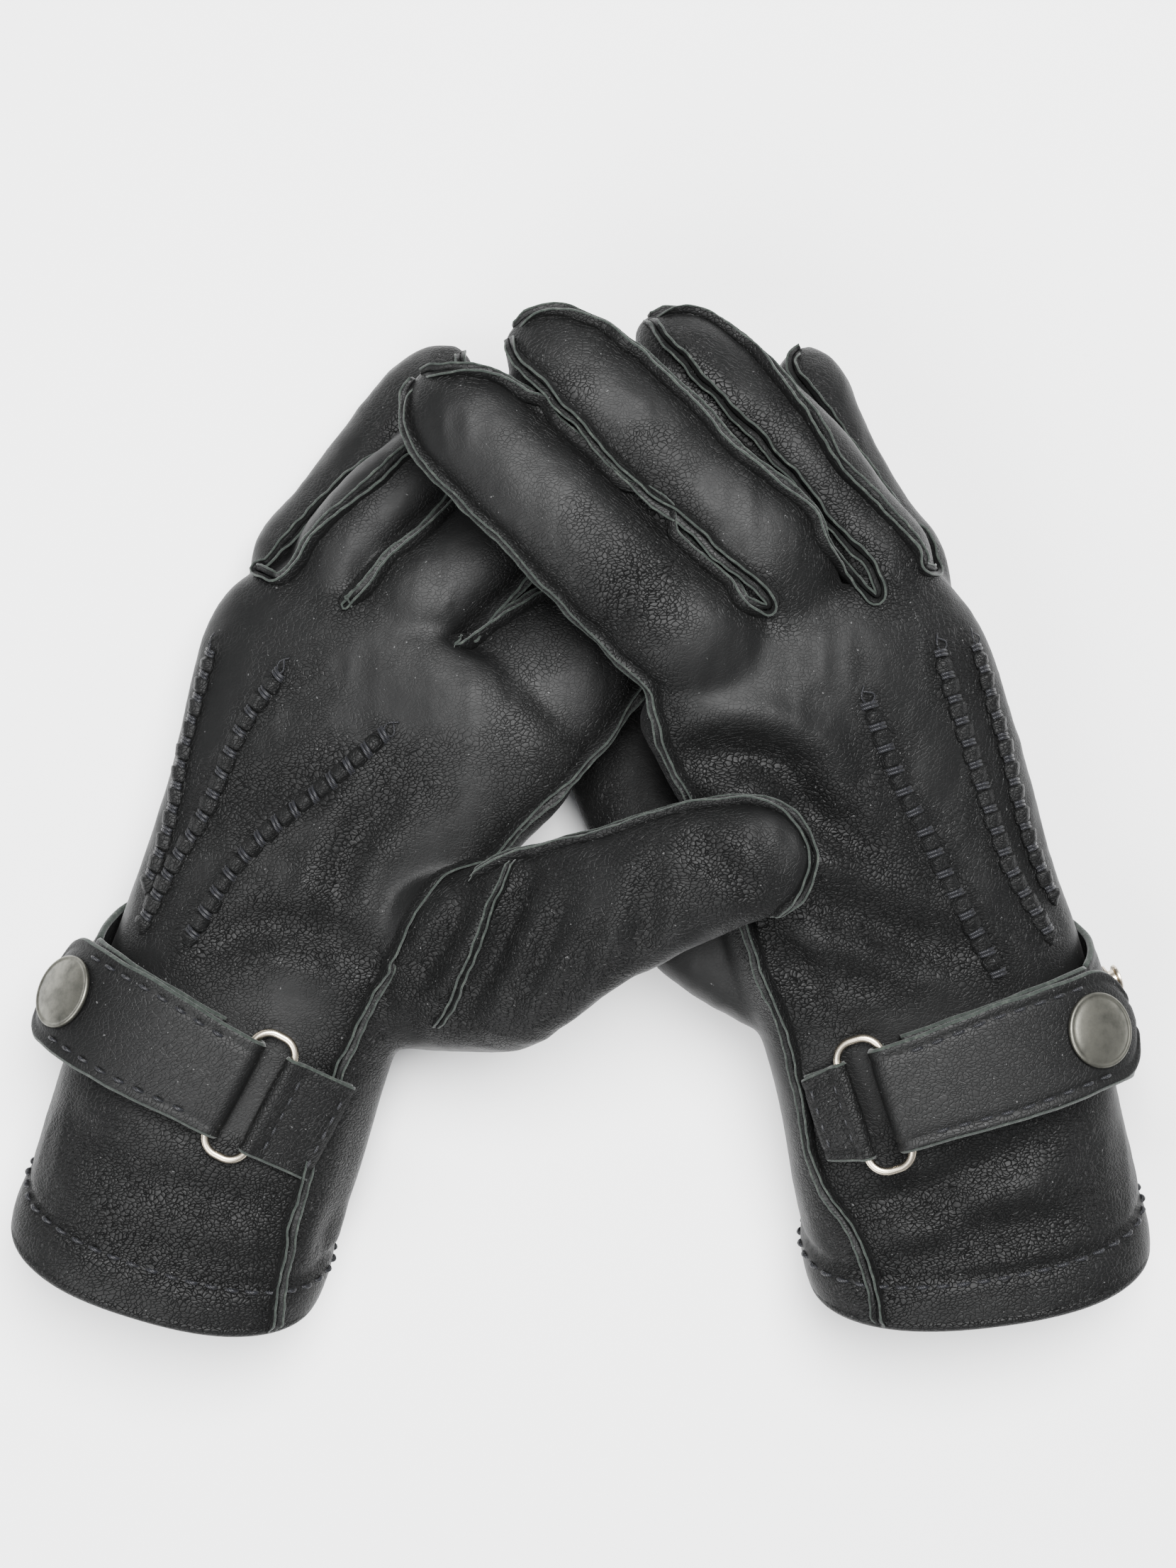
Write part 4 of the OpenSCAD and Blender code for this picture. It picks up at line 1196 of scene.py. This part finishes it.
def flat_arc(centre, radius, start, end, count):
    a = np.radians(np.linspace(start, end, count))
    return centre + radius * np.stack([np.cos(a), np.sin(a)], -1)


def strip_line(path, widths, out):
    """A strip's flat middle line with its outward directions, distances along it and half widths."""
    path = resampled(path, 0.9)
    t = unit(np.gradient(path, axis=0))
    along = distances(path)
    half = np.interp(along / along[-1], np.linspace(0, 1, len(widths)), np.array(widths) / 2)
    return path, np.stack([-t[:, 1], t[:, 0]], -1) * out, along, half


def ribbon(builder, glove, path, widths, thick, out, seed, round_end=0.0, shift=0.0):
    """A leather strip: path is its flat middle line, out the side its outer face is on (1 or -1).

    Its long edges are rounded and cut raw, and a shallow stitch channel runs beside each.
    """
    path, n, along, half = strip_line(path, widths, out)
    if round_end:
        past = np.clip(round_end - (along[-1] - along), 0, round_end * 0.97)
        half = half - (round_end - np.sqrt(round_end**2 - past**2))
    inset = 2.6
    y = np.concatenate([np.linspace(-1, -0.75, 6), np.linspace(-0.7, 0.7, 15), np.linspace(0.75, 1, 6)])
    rings = []
    for k in range(len(path)):
        w = y * half[k]
        from_edge = half[k] - np.abs(w)
        edge = np.clip(from_edge / (thick * 0.45), 0, 1)
        body = thick / 2 * np.sqrt(np.clip(1 - (1 - edge) ** 2, 0.12, 1))
        groove = 0.3 * np.exp(-((from_edge - inset) / 0.6) ** 2)
        pillow = 0.18 * np.clip((half[k] - inset - np.abs(w)) / half[k], 0, 1) ** 0.5
        top = body - groove + pillow
        slide = shift * (along[k] / along[-1])
        cut = np.stack([0 * w + along[k], np.sign(w) * 9, 0 * w], -1)
        wobble = 0.25 * value_noise(cut, 6, seed) * (np.abs(y) > 0.9)
        upper = from_flat(glove, path[k] + n[k] * top[:, None], w + wobble + slide)
        lower = from_flat(glove, path[k] - n[k] * body[:, None], w + wobble + slide)
        rings.append(np.vstack([upper, lower[::-1]]))
    count = len(y)
    slots = [0] * (2 * count)
    for k in (0, count - 2, count - 1, count, 2 * count - 2, 2 * count - 1):
        slots[k] = 1
    builder.loft(rings, slots)


def strap_stitches(builder, glove, path, widths, thick, out, inset, skip):
    """Two rows of stitches, inset from a strip's edges and left out near its ends."""
    path, n, along, half = strip_line(path, widths, out)
    keep = (along > skip[0]) & (along < along[-1] - skip[1])
    _, _, right, up = wrist_axes(glove)
    ups = n[:, :1] * right + n[:, 1:] * up
    for sign in (-1, 1):
        line = from_flat(glove, path + n * (thick / 2 - 0.12), sign * (half - inset))
        row_of_stitches(builder, line[keep], ups[keep], 4.9, 2.9, radius=0.42, sink=0.45, rise=0.5)


def strap_pieces(side, glove):
    ring_a, snap_a, end_a, root_a, reach, far = glove["strap"]
    bar_a = bar_angle(glove)
    turn = glove["side"]
    half_t = STRAP_T / 2

    def angles(a0, a1, g0, g1, count=14):
        f = np.linspace(0, 1, count)
        return wrist_point(glove, a0 + (a1 - a0) * f, g0 + (g1 - g0) * f)

    def strip(name, node, body, path, widths, thick, out, slack=0.3, **shape):
        builder = Builder(side)
        ribbon(builder, glove, path, widths, thick, out, **shape)
        builder.piece(name, [STRAP_LEATHER, RAW_EDGE], body, "leather", node, slack=slack)

    # The flap: round the ring's bar, then back over the strap to its round end
    z = slant(glove, ring_a, BAR_G) @ np.array([[0, 1], [-1, 0]]) * turn
    face = math.degrees(math.atan2(z[1], z[0]))
    bend_r = LOOP_IN + half_t
    loop = flat_arc(bar_centre(glove, -1), bend_r, face - turn * 205, face + turn * 4, 16)
    first = ring_a + bar_a + 4
    flap = angles(first, end_a, flap_height(glove, first)[0] + half_t, FLAP_G[1] + half_t)
    path = np.vstack([loop, flap])
    widths = [LOOP_W - 1.2, LOOP_W - 0.8, STRAP_W - 1.6, STRAP_W - 2, STRAP_W - 2.4]
    strip("strap_flap_leather", "strap_flap", "flap", path, widths, STRAP_T, -turn,
          round_end=10, seed=3)
    builder = Builder(side)
    strap_stitches(builder, glove, path, widths, STRAP_T, -turn, inset=2.8, skip=(13, 9))
    builder.piece("strap_edge_stitches", [THREAD], "flap", "thread", "strap_stitches")

    # The strap's lower layer, and its sewn root beyond the snap
    lower = angles(ring_a + bar_a + 7, snap_a + 13, BASE_G[0] + half_t, BASE_G[1] + half_t)
    widths = [STRAP_W - 2.4, STRAP_W - 0.6]
    strip("strap_base_leather", "strap_base", "glove", lower, widths, STRAP_T, -turn, seed=5)
    root = angles(snap_a + 13.3, root_a, BASE_G[1] + half_t, SEWN_G + half_t)
    widths = [STRAP_W - 0.6, STRAP_W + 13]
    strip("strap_root_leather", "strap_root", "glove", root, widths, STRAP_T, -turn,
          shift=reach, seed=6)

    # The keeper: thin leather folded round the other bar, pinched by a seam, then sewn down as a tab
    ply = 0.95
    tube_r = WIRE_R + 0.08 + ply / 2
    near = ring_a - bar_a - math.degrees(3.0 / (glove["wrist"][3] / 2))
    under = angles(far, near, SEWN_G + ply / 2, BAR_G - 1.1, 8)
    over = angles(near, far, BAR_G - 0.1, SEWN_G + ply * 1.5 + 0.1, 8)
    loop = flat_arc(bar_centre(glove, 1), tube_r, face + turn * 225, face - turn * 45, 16)
    keeper = np.vstack([under, loop, over])
    taper = [LOOP_W - 1.2] * 2
    if side == "right":
        taper = [LOOP_W - 5, LOOP_W - 2.5, LOOP_W - 2.5, LOOP_W - 6]
    strip("keeper_leather", "keeper", "glove", keeper, taper, ply, turn, slack=0.9, seed=8)
    builder = Builder(side)
    across = np.linspace(-0.5, 0.5, 30)[:, None] * (taper[-1] - 4)
    for a, g in ((far + 4, SEWN_G + 2 * ply + 0.25), (near, BAR_G + ply / 2 - 0.15)):
        p, _, y, up = wrist_frame(glove, a, g)
        ups = np.tile(up, (len(across), 1))
        row_of_stitches(builder, p + y * across, ups, 3.7, 2.4, radius=0.34, sink=0.35, rise=0.2)
    builder.piece("keeper_box_stitches", [THREAD], "glove", "thread", "keeper_stitches")


def lathe(builder, glove, angle, g, profile, sides, shift=0.0, slope=0.0):
    """Turns a profile of (radius, height) about the outward direction at a wrist angle."""
    p, x, y, z = wrist_frame(glove, angle, g, slope)
    p = p + y * shift
    around = circle(x, y, sides)[0]
    builder.loft([p + around * max(r, 0.01) + z * h for r, h in profile])


def hardware_pieces(side, glove):
    """The snap's cap, the spare stud and the wire ring, and the look of the CAD's socket and stud."""
    ring_a, snap_a, _, root_a = glove["strap"][:4]
    r = CAP_D / 2
    dome = [
        (0.0, 0.0), (r - 0.5, 0.0), (r - 0.12, 0.12), (r, 0.42), (r - 0.02, 0.85), (r - 0.2, 1.12),
        (r - 0.55, 1.2), (r - 0.85, 1.08), (r - 1.05, 1.04), (r - 1.5, 1.25), (r - 2.6, 1.5),
        (r - 4.5, 1.74), (r - 6.5, 1.9), (0.0, 2.0),
    ]
    builder = Builder(side)
    g, slope = flap_height(glove, snap_a)
    lathe(builder, glove, snap_a, g + STRAP_T + 0.1, dome, sides=72, slope=slope)
    builder.piece("snap_cap_dome", [ANTIQUE], "flap", "nickel", "snap_cap", smooth_angle=50)

    head = SPARE_D / 2
    stud = [
        (0, 0), (head + 0.5, 0), (head + 0.5, 0.35), (head + 0.2, 0.5), (2.3, 0.6), (2.15, 1.2),
        (2.3, 2.1), (head - 0.15, 2.25), (head, 2.5), (head, 2.85), (head - 0.3, 3.1),
        (1.4, SPARE_H), (0, SPARE_H - 0.25),
    ]
    builder = Builder(side)
    lathe(builder, glove, root_a - 20, 4.4, stud, sides=48, shift=7 * glove["side"])
    builder.piece("spare_stud_turned", [NICKEL], "glove", "nickel", "spare_stud", smooth_angle=40)

    centre = from_flat(glove, (bar_centre(glove, 1) + bar_centre(glove, -1)) / 2)
    _, x, y, _ = wrist_frame(glove, ring_a, BAR_G)
    half_w, half_l = RING_W / 2 - RING_CORNER, RING_L / 2 - RING_CORNER
    path = []
    for quarter, (sx, sy) in enumerate(((1, 1), (-1, 1), (-1, -1), (1, -1))):
        corner = centre + x * sx * half_w + y * sy * half_l
        for a in np.radians(np.linspace(90 * quarter, 90 * quarter + 90, 14)):
            path.append(corner + RING_CORNER * (x * math.cos(a) + y * math.sin(a)))
    path = np.array(path)
    z = np.cross(x, y)
    t = unit(np.roll(path, -1, 0) - np.roll(path, 1, 0))
    builder = Builder(side)
    builder.loft(path[:, None] + WIRE_R * circle(np.cross(t, z)[:, None], z, 20), closed_along=True)
    builder.piece("oval_wire_ring", [NICKEL], "ring", "nickel", "ring")
    for kind in ("snap_socket", "snap_stud"):
        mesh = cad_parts[f"{side}_{kind}"].data
        mesh.materials.clear()
        mesh.materials.append(ANTIQUE)


# ---- Camera, light and floor ----


def camera():
    data = bpy.data.cameras.new("camera")
    data.sensor_fit = "VERTICAL"
    data.angle = math.radians(29.75)
    data.clip_start = 0.01
    view = bpy.data.objects.new("camera", data)
    view.location = to_world([1.0, 9.0, 700.0])
    bpy.context.scene.collection.objects.link(view)
    bpy.context.scene.camera = view


def area_light(name, place, size, power):
    """A white round light at a place in metres, aimed at the gloves."""
    aim = (0, 0, 0.03)
    data = bpy.data.lights.new(name, "AREA")
    data.shape = "DISK"
    data.size = size
    data.energy = power
    lamp = bpy.data.objects.new(name, data)
    lamp.location = place
    lamp.rotation_euler = (Vector(aim) - Vector(place)).to_track_quat("-Z", "Y").to_euler()
    bpy.context.scene.collection.objects.link(lamp)


def studio():
    world = bpy.data.worlds.new("studio")
    world.use_nodes = True
    sky = world.node_tree.nodes["Background"].inputs
    sky["Color"].default_value = (0.93, 0.96, 1.0, 1.0)
    sky["Strength"].default_value = 0.55
    bpy.context.scene.world = world
    area_light("key", (0.12, 0.3, 1.0), size=0.6, power=44)
    area_light("low_fill", (-0.45, -0.5, 0.8), size=0.8, power=18)
    mesh = bpy.data.meshes.new("floor")
    corners = [(-3.0, -3.0, 0.0), (3.0, -3.0, 0.0), (3.0, 3.0, 0.0), (-3.0, 3.0, 0.0)]
    mesh.from_pydata(corners, [], [(0, 1, 2, 3)])
    n = Nodes("pale_floor")
    tone = n.noise(6.0, 2.0).outputs["Fac"]
    n.set(Base_Color=n.ramp(tone, [(0.0, grey(0.9)), (1.0, grey(0.93))]), Roughness=0.8)
    mesh.materials.append(n.material)
    floor = bpy.data.objects.new("floor", mesh)
    bpy.context.scene.collection.objects.link(floor)


camera()
for side, glove in GLOVES.items():
    seed = 5 if side == "left" else 31
    shell = leather_surface(glove, seed)
    surface = Surface(shell)
    trank_piece(side, glove, shell)
    lining_piece(side, glove, surface)
    seam_pieces(side, glove, surface)
    tuck_pieces(side, glove, surface)
    hem_pieces(side, glove, surface)
    strap_pieces(side, glove)
    hardware_pieces(side, glove)
studio()
